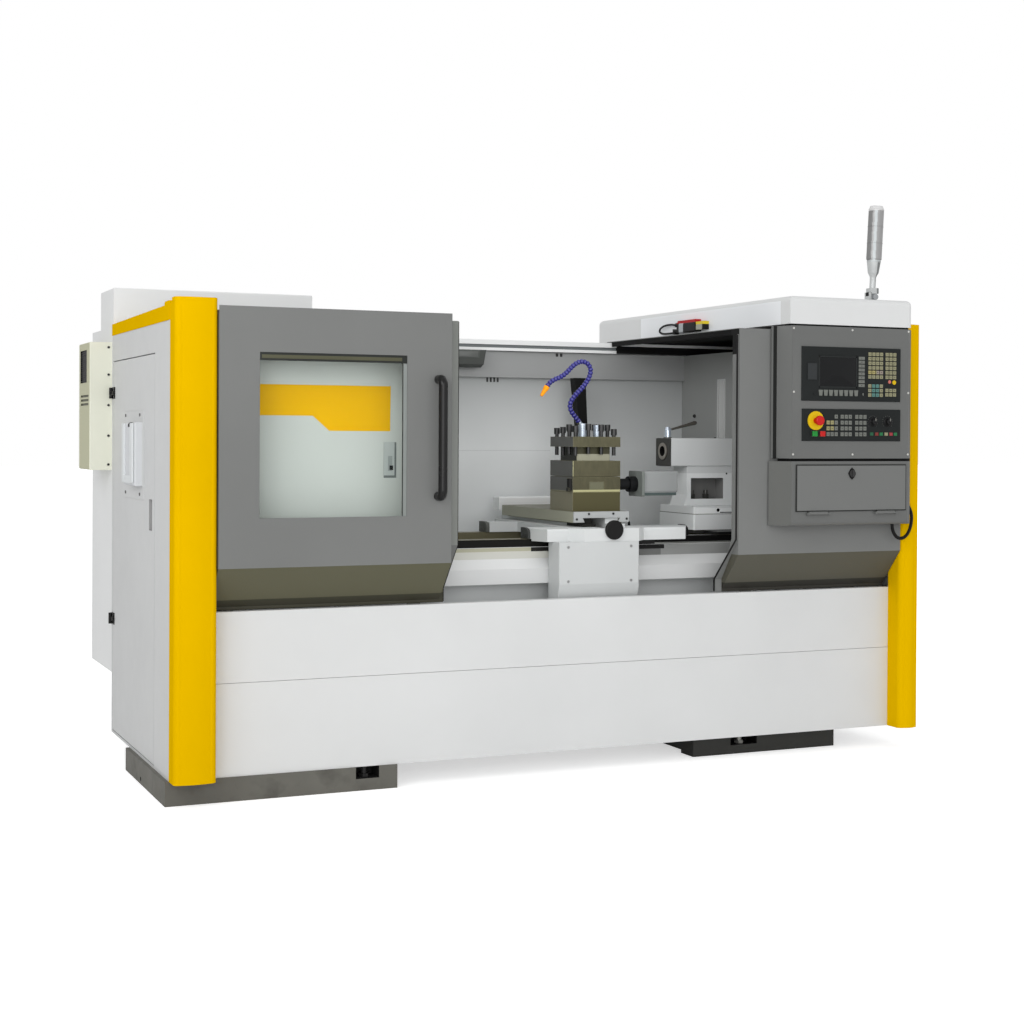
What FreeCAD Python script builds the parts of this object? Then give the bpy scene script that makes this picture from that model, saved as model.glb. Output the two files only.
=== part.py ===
"""CNC turning lathe with a flat bed, sliding doors and a front console.

All sizes are millimetres. The pieces are laid out in the machine's own layout frame: x = 0 is the
outer face of the left side panel, y = 0 the front face of the lower panels, z = 0 the floor, with
+X to the operator's right, +Y to the back and +Z up. The last step moves every piece so that the
origin lies at the centre of the overall footprint, on the floor.
"""

import FreeCAD
import Part
import math
import os

from FreeCAD import Vector

# Overall housing
WIDTH = 3156.0              # left side panel to right side panel
REAR_WALL_Y = 1085.0        # front face of the rear wall
HOUSING_BOTTOM = 87.0       # lower edge of the panels, on top of the plinths
PANEL_TOP = 676.0           # top edge of the fixed front panels, the sill of the doorway
PANEL_SEAM = 421.0
BASE_TOP = 600.0            # chip pan
SHEET = 2.5                 # thickness of the folded sheet
SIDE_TOP = 1709.0           # lower edge of the side trims
SIDE_HINGES_Z = (554.0, 1474.0)
PULL_Y = (294.0, 349.0)     # recessed pull of the service door
PULL_Z = (952.0, 1067.0)
CABINET_BACK = 1552.0
CABINET_HINGES_Z = (560.0, 1515.0)
COLUMN_FRONT = -91.0
COLUMN_TOP = 1785.0
LEFT_COLUMN_X = 151.0       # right edge of the left column
RIGHT_COLUMN_X = 3060.0     # left edge of the right column

# Overall footprint, for the origin
LEFTMOST = -91.0            # cooling unit
FRONTMOST = -214.0          # emergency stop
REARMOST = CABINET_BACK + 35.0    # cabinet hinges
ORIGIN = Vector((LEFTMOST + WIDTH) / 2.0, (FRONTMOST + REARMOST) / 2.0, 0.0)

# Gaps
SLIDE_GAP = 0.3             # between a slide and its way
RUNNING = 0.05              # radial, shaft in bore

# Bed and spindle line
WAY_TOP = 900.0
BED_X = (100.0, 2650.0)
BED_Y = (185.0, 735.0)
WAY_WIDTH = 65.0
SPINDLE_Y = 457.0
SPINDLE_Z = 1246.0
NOSE_X = 1010.0

# Feed screws
Z_SCREW_Y = 198.0
Z_SCREW_Z = 770.0
Z_SCREW_R = 16.0
X_SCREW_X = 1775.0
X_SCREW_Z = 932.0
X_SCREW_R = 12.5

# Tool post
POST_X = 1777.0
POST_Y = 312.0
POST_HALF = 107.0
POST_BASE_Z = 1005.0
POST_SEAM_Z = 1084.0
INDEX_Z = 1144.0
TURRET_Z = (1145.5, 1209.0, 1265.0, 1306.0)
COLUMN_R = 60.0
BOLT_PITCH = 58.0
BOLT_DROPS = (12, 6, 16, 20, 4, 10, 6, 8, 24, 6, 10, 5)

# Tailstock
TAIL_HEAD_X = 2221.0
QUILL_R = 36.0

# Doors
DOOR_FRONT = -85.0
DOOR_CREASE_Z = 836.0
DOOR_LIP_Y = 37.5
DOOR_LIP_Z = (679.0, 690.0)
DOOR_INNER_Y = -35.0
BAND_BEND_Z = 898.0         # the bands along the doors' inner edges turn inwards here
BAND_FOOT_Z = 731.0         # and drop straight to the sill from here
ROOF_Z = 1742.0
BEAM_TOP = 1738.0
LEFT_DOOR_X = (154.0, 1030.0)
RIGHT_DOOR_X = (2267.0, 3057.0)
WINDOW_X = (300.0, 853.0)
WINDOW_Z = (1012.0, 1600.0)

# Console
CONSOLE_FRONT = -170.0
CONSOLE_BACK = -92.0
CONSOLE_TOP = 1757.0
CONSOLE_SPLIT = (1212.0, 1223.0)    # shadow gap between storage box and screen housing
CONSOLE_BOTTOM = 952.0
CANOPY_LEFT = 2450.0
CANOPY_Z = (1764.0, 1876.0)
HINGE_PIN_Y = -180.0
HINGE_PIN_Z = 1001.0
PIN_R = 3.5
FLAP_PINS_X = (2540.0, 2870.0)
LATCH = Vector(2747.0, -170.0, 1162.0)
ESTOP = Vector(2569.0, -176.0, 1376.0)
START = Vector(2561.0, -176.0, 1323.0)
STOP = Vector(2598.0, -176.0, 1323.0)
FEED = Vector(2848.0, -176.0, 1373.0)
SPEED = Vector(2920.0, -176.0, 1373.0)

# Signal mast
MAST = Vector(2981.0, 20.0, CANOPY_Z[1] + 26.0)
MAST_LEAN = 3.0

# Coolant hose and conduit routes, chosen by hand
HOSE_R = 8.5
HOSE_ROUTE = [
    (1748, 312, 1366), (1733, 312, 1385), (1714, 312, 1405), (1705, 312, 1430), (1713, 312, 1456),
    (1733, 312, 1479), (1757, 312, 1501), (1779, 312, 1526), (1796, 312, 1553), (1802, 312, 1583),
    (1787, 312, 1609), (1757, 312, 1616), (1729, 312, 1604), (1706, 312, 1583), (1684, 312, 1561),
    (1658, 312, 1546), (1632, 312, 1537), (1613, 312, 1524), (1603, 312, 1509),
]
CONDUIT_R = 7.0
CONDUIT_ROUTE = [
    (2981, -131, 952), (2981, -131, 935), (2990, -131, 911), (3010, -130, 891), (3038, -129, 889),
    (3061, -128, 905), (3075, -127, 929), (3083, -126, 957), (3087, -122, 985), (3088, -111, 1008),
    (3088, -97, 1023),
]
SWITCH_CABLE_R = 4.5
SWITCH_ROUTE = [
    (2433, 725, 1808), (2433, 765, 1813), (2433, 812, 1813), (2433, 850, 1808), (2433, 875, 1798),
    (2433, 878, 1786), (2433, 858, 1777), (2433, 825, 1774), (2433, 745, 1774),
]


# Shape helpers

def block(x0, x1, y0, y1, z0, z1):
    """A box from its two corners."""
    return Part.makeBox(x1 - x0, y1 - y0, z1 - z0, Vector(x0, y0, z0))


def rod(start, end, radius):
    """A round bar between two points."""
    start, end = Vector(*start), Vector(*end)
    return Part.makeCylinder(radius, (end - start).Length, start, end - start)


def taper(start, end, radius_start, radius_end):
    """A cone frustum between two points."""
    start, end = Vector(*start), Vector(*end)
    return Part.makeCone(radius_start, radius_end, (end - start).Length, start, end - start)


def prism(points, direction):
    """A straight prism on a closed outline of points."""
    corners = [Vector(*p) for p in points]
    return Part.Face(Part.makePolygon(corners + corners[:1])).extrude(Vector(*direction))


def prism_x(outline, x0, x1):
    """A prism along X on an outline of (y, z) points."""
    return prism([(x0, y, z) for y, z in outline], (x1 - x0, 0, 0))


def prism_y(outline, y0, y1):
    """A prism along Y on an outline of (x, z) points."""
    return prism([(x, y0, z) for x, z in outline], (0, y1 - y0, 0))


def prism_z(outline, z0, z1):
    """A prism along Z on an outline of (x, y) points."""
    return prism([(x, y, z0) for x, y in outline], (0, 0, z1 - z0))


def joined(shapes):
    """One solid from pieces that touch or overlap."""
    return shapes[0].multiFuse(shapes[1:]).removeSplitter()


def without(shape, tools):
    """A shape less its cut-outs."""
    return shape.cut(tools[0] if len(tools) == 1 else Part.makeCompound(tools))


def together(shapes):
    """Separate solids kept as one piece of the assembly."""
    return Part.makeCompound(shapes)


def softened(shape, radius, test):
    """Round the straight edges that a test picks by their two end points."""
    edges = [e for e in shape.Edges
             if len(e.Vertexes) == 2 and test(e.Vertexes[0].Point, e.Vertexes[1].Point)]
    return shape.makeFillet(radius, edges)


def tube_path(route):
    """Straight runs joined by tangent arcs, each as large as its two runs allow."""
    points = [Vector(*p) for p in route]
    edges, radii, last = [], [], points[0]
    for before, here, after in zip(points, points[1:], points[2:]):
        inward, outward = (before - here), (after - here)
        reach = 0.45 * min(inward.Length, outward.Length)
        inward.normalize()
        outward.normalize()
        half_turn = (math.pi - inward.getAngle(outward)) / 2.0
        radius = reach / math.tan(half_turn)
        start, end = here + inward * reach, here + outward * reach
        bisector = (inward + outward).normalize()
        middle = here + bisector * (radius / math.cos(half_turn) - radius)
        edges.append(Part.LineSegment(last, start).toShape())
        edges.append(Part.Arc(start, middle, end).toShape())
        radii.append(radius)
        last = end
    edges.append(Part.LineSegment(last, points[-1]).toShape())
    return Part.Wire(edges), radii


def cord_tube(name, route, radius):
    """A round tube along a route, with its volume compared with section times length."""
    path, radii = tube_path(route)
    first, second = Vector(*route[0]), Vector(*route[1])
    section = Part.Wire([Part.makeCircle(radius, first, second - first)])
    tube = path.makePipeShell([section], True, False)
    expected = math.pi * radius ** 2 * path.Length
    print("%s: length %.0f, smallest radius %.0f, volume ratio %.3f"
          % (name, path.Length, min(radii), tube.Volume / expected))
    return tube


# Base and bed

def plinths():
    """Two floor plinths with pockets for the levelling screws, and the screws in them."""
    left = block(-15, 850, -8, 705, 0, HOUSING_BOTTOM)
    right = joined([block(2167, 2852, 90, 730, 14, HOUSING_BOTTOM), block(2167, 2852, 90, 190, 0, 14),
                    block(2167, 2852, 630, 730, 0, 14)])
    pockets = [
        block(688, 778, -8, 80, 44, HOUSING_BOTTOM),
        block(688, 778, 625, 705, 44, HOUSING_BOTTOM),
        block(2344, 2470, 90, 170, 36, HOUSING_BOTTOM),
        block(2344, 2470, 650, 730, 36, HOUSING_BOTTOM),
        rod((-15, 411, 20), (20, 411, 20), 9),
    ]
    body = without(together([left, right]), pockets)
    places = [(733, 36, 44), (733, 665, 44), (2407, 130, 36), (2407, 690, 36)]
    return together(body.Solids + [levelling_screw(x, y, z) for x, y, z in places])


def levelling_screw(x, y, z):
    """A hexagon levelling screw standing on the floor of its pocket."""
    return joined([hexagon(x, y, z, z + 12, 20), rod((x, y, z + 12), (x, y, HOUSING_BOTTOM), 12)])


def hexagon(x, y, z0, z1, radius):
    """An upright hexagonal prism."""
    turns = [math.radians(60 * i) for i in range(6)]
    return prism_z([(x + radius * math.cos(a), y + radius * math.sin(a)) for a in turns], z0, z1)


def base():
    """The closed machine base with the chip pan's walls around its top."""
    body = block(26, WIDTH - 22, 12, 1073, HOUSING_BOTTOM, BASE_TOP)
    pan_walls = without(block(60, 2668, 12, 1060, BASE_TOP, 640),
                        [block(64, 2664, 16, 1056, BASE_TOP, 640)])
    return joined([body, pan_walls])


def front_panels():
    """Lower and upper fixed front panels, the upper one folded back as the doors' sill."""
    x0, x1 = LEFT_COLUMN_X, RIGHT_COLUMN_X
    lower = block(x0, x1, 0, 12, HOUSING_BOTTOM, PANEL_SEAM - 1)
    upper = block(x0, x1, 0, 12, PANEL_SEAM + 0.5, BASE_TOP)
    upright = block(x0, x1, 0, SHEET, BASE_TOP, PANEL_TOP - SHEET)
    sill = block(x0, x1, 0, 40, PANEL_TOP - SHEET, PANEL_TOP)
    return together([lower, upper, upright, sill])


def bed():
    """Cast bed: two ways, a sloping chip valley and brackets for the long feed screw."""
    y0, y1 = BED_Y
    outline = [
        (y0, WAY_TOP), (y0, 869), (212, 869), (240, 841), (240, BASE_TOP), (690, BASE_TOP),
        (690, 820), (y1, 850), (y1, WAY_TOP), (y1 - WAY_WIDTH, WAY_TOP), (y1 - WAY_WIDTH, 868),
        (640, 740), (275, 800), (y0 + WAY_WIDTH, 868), (y0 + WAY_WIDTH, WAY_TOP),
    ]
    casting = prism_x(outline, *BED_X)
    brackets = [block(x, x + 40, 174, 240, 735, 800) for x in (200, 2560)]
    bores = [rod((x - 1, Z_SCREW_Y, Z_SCREW_Z), (x + 41, Z_SCREW_Y, Z_SCREW_Z), Z_SCREW_R + RUNNING)
             for x in (200, 2560)]
    drive_box = block(2604, 2650, 174, 240, 695, 800)
    return joined([casting, without(together(brackets), bores), drive_box])


def screw_cover():
    """Guard over the long feed screw, welded from four strips and open below for the carriage's arm."""
    top = [(180, 869), (180, 866), (206, 866), (206, 869)]
    upright = [(180, 866), (180, 824), (183, 823), (183, 866)]
    slope = [(180, 824), (150, 785), (153, 784), (183, 823)]
    apron_side = [(150, 785), (150, 727), (153, 727), (153, 784)]
    return together([prism_x(strip, *BED_X) for strip in (top, upright, slope, apron_side)])


# Headstock and spindle

def headstock():
    """Cast spindle housing on the bed, with its front bearing ring."""
    housing = block(130, 950, 200, 720, WAY_TOP, 1430)
    housing = softened(housing, 30, lambda a, b: a.z > 1429 and b.z > 1429)
    ring = rod((950, SPINDLE_Y, SPINDLE_Z), (964, SPINDLE_Y, SPINDLE_Z), 120)
    bore = rod((129, SPINDLE_Y, SPINDLE_Z), (965, SPINDLE_Y, SPINDLE_Z), 75 + RUNNING)
    return without(joined([housing, ring]), [bore])


def spindle():
    """Hollow spindle with its nose flange."""
    y, z = SPINDLE_Y, SPINDLE_Z
    shaft = rod((70, y, z), (968, y, z), 75)
    nose = rod((968, y, z), (NOSE_X, y, z), 105)
    return without(joined([shaft, nose]), [rod((69, y, z), (NOSE_X + 1, y, z), 41)])


def chuck_body():
    """Three-jaw chuck body with a radial guide slot for each jaw."""
    y, z = SPINDLE_Y, SPINDLE_Z
    body = rod((NOSE_X, y, z), (NOSE_X + 110, y, z), 158)
    bore = rod((NOSE_X - 1, y, z), (NOSE_X + 111, y, z), 45)
    slot = block(NOSE_X + 88, NOSE_X + 111, y - 16.3, y + 16.3, z, z + 160)
    return without(body, [bore] + [around_spindle(slot, 120 * i) for i in range(3)])


def around_spindle(shape, degrees):
    """A copy turned about the spindle line."""
    turned = shape.copy()
    turned.rotate(Vector(0, SPINDLE_Y, SPINDLE_Z), Vector(1, 0, 0), degrees)
    return turned


def jaw(index):
    """One stepped chuck jaw on its guide block."""
    y, z, x = SPINDLE_Y, SPINDLE_Z, NOSE_X + 88.3
    foot = block(x, x + 22, y - 16, y + 16, z + 60, z + 148)
    steps = [block(x + 22, x + 42, y - 20, y + 20, z + 58, z + 150),
             block(x + 42, x + 62, y - 20, y + 20, z + 58, z + 118),
             block(x + 62, x + 80, y - 20, y + 20, z + 58, z + 88)]
    return around_spindle(joined([foot] + steps), 120 * index)


def headstock_guard():
    """Fixed guard round the headstock, welded from sheets, with the spindle opening in its right wall."""
    x0, x1, y0, top_z = LEFT_COLUMN_X + 4, 980.0, 57.0, 1700.0
    front = block(x0, x1, y0, y0 + SHEET, 680, top_z - SHEET)
    top = block(x0, x1, y0, 1040, top_z - SHEET, top_z)
    wall = block(x1 - SHEET, x1, y0 + SHEET, 1040, 905, top_z - SHEET)
    wall_end = block(x1 - SHEET, x1, 1040, REAR_WALL_Y - 3, 905, 1690)
    skirt = block(x1 - SHEET, x1, y0 + SHEET, 146, 680, 905)
    wall = without(wall, [rod((x1 - 10, SPINDLE_Y, SPINDLE_Z), (x1 + 1, SPINDLE_Y, SPINDLE_Z), 135)])
    lock = without(block(816, 860, y0 - 2, y0, 1152, 1279), [block(830, 846, y0 - 2, y0 - 1, 1175, 1230)])
    return together([front, top, wall, wall_end, skirt, lock])


# Carriage

def saddle():
    """H-shaped saddle: wings on both ways, a bridge with dovetail rails and the screw channel."""
    z0 = WAY_TOP + SLIDE_GAP
    on_way = prism_z([(1474, 183), (1509, 100), (2130, 100), (2180, 183), (2180, 255), (1474, 255)],
                     z0, 942)
    before_way = prism_z([(1476, 178), (1509, 100), (2130, 100), (2177, 178)], 892, 942)
    front_wing = joined([on_way, before_way])
    front_wing = softened(front_wing, 8, lambda a, b: a.z > 941 and b.z > 941 and a.y < 101 and b.y < 101)
    rear_wing = block(1501, 2160, 660, 742, z0, 942)
    bridge = block(1630, 1925, 100, 905, z0, 944)
    boss = prism_z([(1600, 101), (1648, 48), (1889, 48), (1938, 101)], 892, 944)
    raised = block(1690, 1878, 150, 905, 944, 955)
    rail = [(1712, 955), (1856, 955), (1868, 979), (1700, 979)]
    rails = prism_y(rail, 185, 905)
    arm = block(2040, 2120, 742, 985, 903, 942)
    motor = block(1725, 1825, 905, 1045, 888, 975)
    channel = block(1745, 1805, 75, 885, 905, 980)
    bore = rod((X_SCREW_X, 47, X_SCREW_Z), (X_SCREW_X, 906, X_SCREW_Z), X_SCREW_R + RUNNING)
    body = without(joined([front_wing, rear_wing, bridge, boss, raised, rails, arm]), [channel, bore])
    return joined([body, motor])


def apron():
    """Carriage apron with its lower fold, and the arm and nut that ride the long screw."""
    outline = [(45, 892), (45, 728), (66, 655), (145, 655), (145, 892)]
    body = prism_x(outline, 1536, 1889)
    body = softened(body, 6, lambda a, b: a.y < 46 and b.y < 46 and abs(a.x - b.x) < 1)
    arm = block(1650, 1790, 145, 232, 692, 722)
    nut = block(1670, 1770, 172, 234, 722, 796)
    bore = rod((1669, Z_SCREW_Y, Z_SCREW_Z), (1771, Z_SCREW_Y, Z_SCREW_Z), Z_SCREW_R + RUNNING)
    return joined([body, arm, without(nut, [bore])])


def saddle_wipers():
    """Black way wipers at the wing ends, the cross screw's cap and the switch block."""
    fronts = [wiper(1463, 1474, 183, 253), wiper(2180, 2191, 183, 253)]
    rears = [wiper(1487, 1501, 660, 742), wiper(2160, 2173, 660, 742)]
    cap = joined([rod((X_SCREW_X, 38, 938), (X_SCREW_X, 48, 938), 38.5),
                  taper((X_SCREW_X, 34, 938), (X_SCREW_X, 38, 938), 34, 38.5)])
    switch = block(1893, 1992, 108, 140, 874, 892)
    return together(fronts + rears + [cap, switch])


def wiper(x0, x1, y0, y1):
    """A wiper plate with its upper front corner cut round and two screw heads."""
    outline = [(y0, 901), (y1, 901), (y1, 944), (y0 + 30, 944), (y0 + 14, 940), (y0 + 4, 933), (y0, 922)]
    outside = x0 if x0 < 1600 else x1 + 3
    heads = [rod((outside - 3, y, 914), (outside, y, 914), 5) for y in (y0 + 22, y1 - 20)]
    return joined([prism_x(outline, x0, x1)] + heads)


def cable_post():
    """Black tapered post that carries the cross drive's cables, on the saddle's rear arm."""
    return joined([
        prism_y([(2057, 942), (2097, 942), (2091, 1367), (2081, 1570), (2027, 1570), (2049, 1367)],
                925, 975),
        block(2046, 2114, 905, 983, 942, 954),
    ])


def z_screw():
    """Long feed screw."""
    return rod((190, Z_SCREW_Y, Z_SCREW_Z), (2603, Z_SCREW_Y, Z_SCREW_Z), Z_SCREW_R)


def x_screw():
    """Cross feed screw."""
    return rod((X_SCREW_X, 52, X_SCREW_Z), (X_SCREW_X, 904, X_SCREW_Z), X_SCREW_R)


def cross_slide():
    """Cross slide with its female dovetail, end plate and the nut on the cross screw."""
    z0 = 955 + SLIDE_GAP
    body = block(1660, 1908, 180, 894, 961, 1005)
    lower = block(1690, 1878, 180, 894, z0, 961)
    slot = [(1711.4, z0 - 1), (1856.6, z0 - 1), (1868.8, 979.5), (1699.2, 979.5)]    # dovetail
    body = without(joined([body, lower]), [prism_y(slot, 179, 895)])
    nut = block(1750, 1800, 320, 400, 912, 980)
    bore = rod((X_SCREW_X, 319, X_SCREW_Z), (X_SCREW_X, 401, X_SCREW_Z), X_SCREW_R + RUNNING)
    plate = block(1660, 1908, 172, 180, 962, 1005)
    screws = [rod((x, 169, z), (x, 172, z), 4.5)
              for x, z in ((1672, 975), (1726, 996), (1836, 996), (1897, 975))]
    return joined([body, without(nut, [bore]), without(plate, [prism_y(slot, 171, 181)])] + screws)


def slide_rear_cover():
    """White cover box on the cross slide's rear end."""
    body = block(1646, 1965, 896, 962, 984, 1040)
    body = softened(body, 8, lambda a, b: a.z > 1039 and b.z > 1039)
    return joined([body, block(1700, 1868, 894, 900, 985, 1004)])


def tool_post_base():
    """Fixed lower part of the tool post, with the post that carries the turret and the hose."""
    x0, x1, y0, y1 = POST_X - POST_HALF, POST_X + POST_HALF, POST_Y - POST_HALF, POST_Y + POST_HALF
    foot = block(x0, x1, y0, y1, POST_BASE_Z, POST_SEAM_Z - 1.5)
    groove = block(x0 + 2, x1 - 2, y0 + 2, y1 - 2, POST_SEAM_Z - 1.5, POST_SEAM_Z)
    drive = block(x0, x1, y0, y1, POST_SEAM_Z, INDEX_Z)
    drive = without(drive, [block(1745, 1811, y0 - 1, y0 + 3, 1092, 1124)])
    pivot = rod((POST_X, POST_Y, INDEX_Z), (POST_X, POST_Y, TURRET_Z[3]), COLUMN_R)
    corner = joined([rod((1666, 222, 1090), (1666, 222, 1138), 13),
                     block(1653, 1672, 212, 232, 1086, 1100)])
    hose_start = Vector(*HOSE_ROUTE[0])
    backward = (hose_start - Vector(*HOSE_ROUTE[1])).normalize()
    hose_stub = joined([rod((1764, 312, TURRET_Z[3]), (1764, 312, 1360), 18),
                        rod(hose_start + backward * 17.8, hose_start, 9.5)])
    stud = rod((1830, 312, TURRET_Z[3]), (1830, 312, 1354), 14)
    return joined([foot, groove, drive, pivot, corner, hose_stub, stud])


def turret_block():
    """Indexing four-way tool holder: block, neck with four slots and clamping plate."""
    z0, z1, z2, z3 = TURRET_Z
    x, y, half = POST_X, POST_Y, POST_HALF
    lower = block(x - half, x + half, y - half, y + half, z0, z1)
    neck = block(x - 75, x + 75, y - 75, y + 75, z1, z2)
    plate = block(x - half, x + half, y - half, y + half, z2, z3)
    bore = rod((x, y, z0 - 1), (x, y, z3 + 1), COLUMN_R + RUNNING)
    holes = [rod((bx, by, z2 - 1), (bx, by, z3 + 1), 8.0) for bx, by in bolt_places()]
    return without(joined([lower, neck, plate]), [bore] + holes)


def bolt_places():
    """Twelve bolts round the clamping plate: four to a side, sharing the corners."""
    steps = [(i - 1.5) * BOLT_PITCH for i in range(4)]
    return [(POST_X + dx, POST_Y + dy) for dx in steps for dy in steps
            if max(abs(dx), abs(dy)) > BOLT_PITCH]


def tool_bolts():
    """Twelve clamping bolts, screwed down by different amounts."""
    bolts = []
    for (x, y), drop in zip(bolt_places(), BOLT_DROPS):
        shank = rod((x, y, max(1240 - drop, 1230)), (x, y, 1336 - drop), 7.8)
        head = without(rod((x, y, 1336 - drop), (x, y, 1362 - drop), 12),
                       [hexagon(x, y, 1352 - drop, 1363 - drop, 6)])
        bolts.append(joined([shank, head]))
    return together(bolts)


def index_motor():
    """Turret drive: dark coupling and finned motor on the right of the tool post."""
    y, z, x0 = 265.0, 1112.0, POST_X + POST_HALF
    coupling = rod((x0, y, z), (1968, y, z), 23)
    collar = rod((1950, y, z), (1985, y, z), 32)
    body = block(1995, 2155, 212, 318, 1078, 1166)
    body = softened(body, 9, lambda a, b: abs(a.x - b.x) > 100)
    flange = softened(block(1983, 1995, 200, 318, 1062, 1166), 7, lambda a, b: abs(a.x - b.x) > 10)
    ribs = [block(1995, 2150, 214 + 20 * i, 220 + 20 * i, 1066, 1080) for i in range(6)]
    return joined([coupling, collar, body, flange] + ribs)


def coolant_hose():
    """Jointed coolant hose from its post to the nozzle."""
    return cord_tube("coolant_hose", HOSE_ROUTE, HOSE_R)


def coolant_nozzle():
    """Tapered nozzle on the end of the hose."""
    end, before = Vector(*HOSE_ROUTE[-1]), Vector(*HOSE_ROUTE[-2])
    along = (end - before).normalize()
    collar_end, tip = end + along * 14, end + along * 46
    return joined([rod(end, collar_end, 11.5), taper(collar_end, tip, 10, 6)])


# Tailstock

def tail_base():
    """Tailstock base plate on the ways, with its clamp block in the chip valley."""
    body = block(2288, 2600, 305, 609, 914, 982)
    body = softened(body, 8, lambda a, b: abs(a.z - b.z) > 50)
    shoe = block(2292, 2596, 309, 605, WAY_TOP + SLIDE_GAP, 914)
    side_rail = [block(2340, 2592, y0, y1, WAY_TOP + SLIDE_GAP, 912) for y0, y1 in ((190, 309), (605, 728))]
    return joined([body, shoe] + side_rail)


def tail_body():
    """Tailstock casting: flange, flared neck with a window, and the quill head."""
    flange = softened(block(2290, 2598, 307, 607, 982, 1013), 8, lambda a, b: abs(a.z - b.z) > 20)
    neck = prism_y([(2292, 1013), (2596, 1013), (2556, 1062), (2556, 1183), (2308, 1183), (2308, 1062)],
                   400, 522)
    foot = prism_x([(400, 1013), (590, 1013), (522, 1080), (400, 1080)], 2330, 2550)
    head = block(TAIL_HEAD_X + 5, 2560, 394, 520, 1182, 1302)
    head = softened(head, 5, lambda a, b: abs(a.x - b.x) > 100)
    face = block(TAIL_HEAD_X, TAIL_HEAD_X + 5, 395, 519, 1183, 1301)
    bore = rod((TAIL_HEAD_X - 1, SPINDLE_Y, SPINDLE_Z), (2530, SPINDLE_Y, SPINDLE_Z), QUILL_R + RUNNING)
    window = block(2327, 2487, 399, 470, 1042, 1131)
    slit = block(2416, 2599, 306, 316, 985, 989)
    hole = rod((2407, 306, 997), (2407, 330, 997), 7.5)
    body = without(joined([flange, neck, foot, head, face]), [bore, window, slit, hole])
    nuts = [hexagon(x, 435, 1042, 1062, 15) for x in (2352, 2420)]
    studs = [rod((x, 435, 1062), (x, 435, 1078), 9) for x in (2352, 2420)]
    clamp_boss = rod((2244, SPINDLE_Y, 1301), (2244, SPINDLE_Y, 1306), 18)
    return joined([body, clamp_boss] + nuts + studs)


def quill():
    """Quill with its taper socket."""
    y, z = SPINDLE_Y, SPINDLE_Z
    body = rod((TAIL_HEAD_X - 4, y, z), (2520, y, z), QUILL_R)
    socket = taper((TAIL_HEAD_X - 5, y, z), (TAIL_HEAD_X + 115, y, z), 22, 19)
    return without(body, [socket])


def quill_clamp():
    """Quill clamp: a chromed boss with a dark lever that widens to its grip."""
    x, y = 2244.0, SPINDLE_Y
    boss = joined([rod((x, y, 1306.3), (x, y, 1336), 14), taper((x, y, 1336), (x, y, 1350), 14, 9)])
    start, wide, end, tip = (2252, y, 1337), (2340, y, 1359), (2376, y, 1368), (2384, y, 1370)
    lever = [taper(start, wide, 4.5, 6.5), taper(wide, end, 6.5, 9.5), taper(end, tip, 9.5, 6)]
    return joined([boss] + lever)


# Housing

def column_outline(x0, x1, inset):
    """A column's closed face: open back at y = 0, rounded corners and a slightly bowed front."""
    left, right, front = x0 + inset, x1 - inset, COLUMN_FRONT + inset
    corner = 22.0
    middle = (left + right) / 2.0
    points = {
        "back_left": Vector(left, 0, 0), "side_left": Vector(left, front + corner + 8, 0),
        "front_left": Vector(left + corner, front + 6, 0), "crown": Vector(middle, front, 0),
        "front_right": Vector(right - corner, front + 6, 0),
        "side_right": Vector(right, front + corner + 8, 0), "back_right": Vector(right, 0, 0),
    }
    left_turn = Vector(left + corner * 0.24, front + 6 + corner * 0.30, 0)
    right_turn = Vector(right - corner * 0.24, front + 6 + corner * 0.30, 0)
    edges = [
        Part.LineSegment(points["back_left"], points["side_left"]).toShape(),
        Part.Arc(points["side_left"], left_turn, points["front_left"]).toShape(),
        Part.Arc(points["front_left"], points["crown"], points["front_right"]).toShape(),
        Part.Arc(points["front_right"], right_turn, points["side_right"]).toShape(),
        Part.LineSegment(points["side_right"], points["back_right"]).toShape(),
        Part.LineSegment(points["back_right"], points["back_left"]).toShape(),
    ]
    return Part.Face(Part.Wire(edges))


def column(x0, x1):
    """A hollow front column, closed at the top and stepped down behind its face."""
    outer = column_outline(x0, x1, 0).extrude(Vector(0, 0, COLUMN_TOP - HOUSING_BOTTOM))
    inner = column_outline(x0, x1, 3).extrude(Vector(0, 0, COLUMN_TOP - HOUSING_BOTTOM - 3))
    shell = outer.cut(inner)
    shell.translate(Vector(0, 0, HOUSING_BOTTOM))
    step = block(x0 - 1, x1 + 1, -28, 1, COLUMN_TOP - 15, COLUMN_TOP + 1)
    lid = block(x0 + 1, x1 - 1, -32, 0, COLUMN_TOP - 18, COLUMN_TOP - 15)
    return joined([without(shell, [step]), lid])


def side_trim(x0, x1):
    """The tapered strip along the top of a side, stepped up behind the column."""
    top = COLUMN_TOP - 8
    return prism_x([(0, SIDE_TOP), (1085, SIDE_TOP), (1085, 1755), (86, 1764), (78, top), (0, top)], x0, x1)


def left_column():
    """Left column with the left side's top strip."""
    return joined([column(0, LEFT_COLUMN_X), side_trim(-2, 24)])


def right_column():
    """Right column with the right side's top strip."""
    gland = rod(CONDUIT_ROUTE[-1], Vector(*CONDUIT_ROUTE[-1]) + Vector(0, 14, 15), 12)
    return joined([column(RIGHT_COLUMN_X, WIDTH), side_trim(WIDTH - 24, WIDTH), gland])


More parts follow.
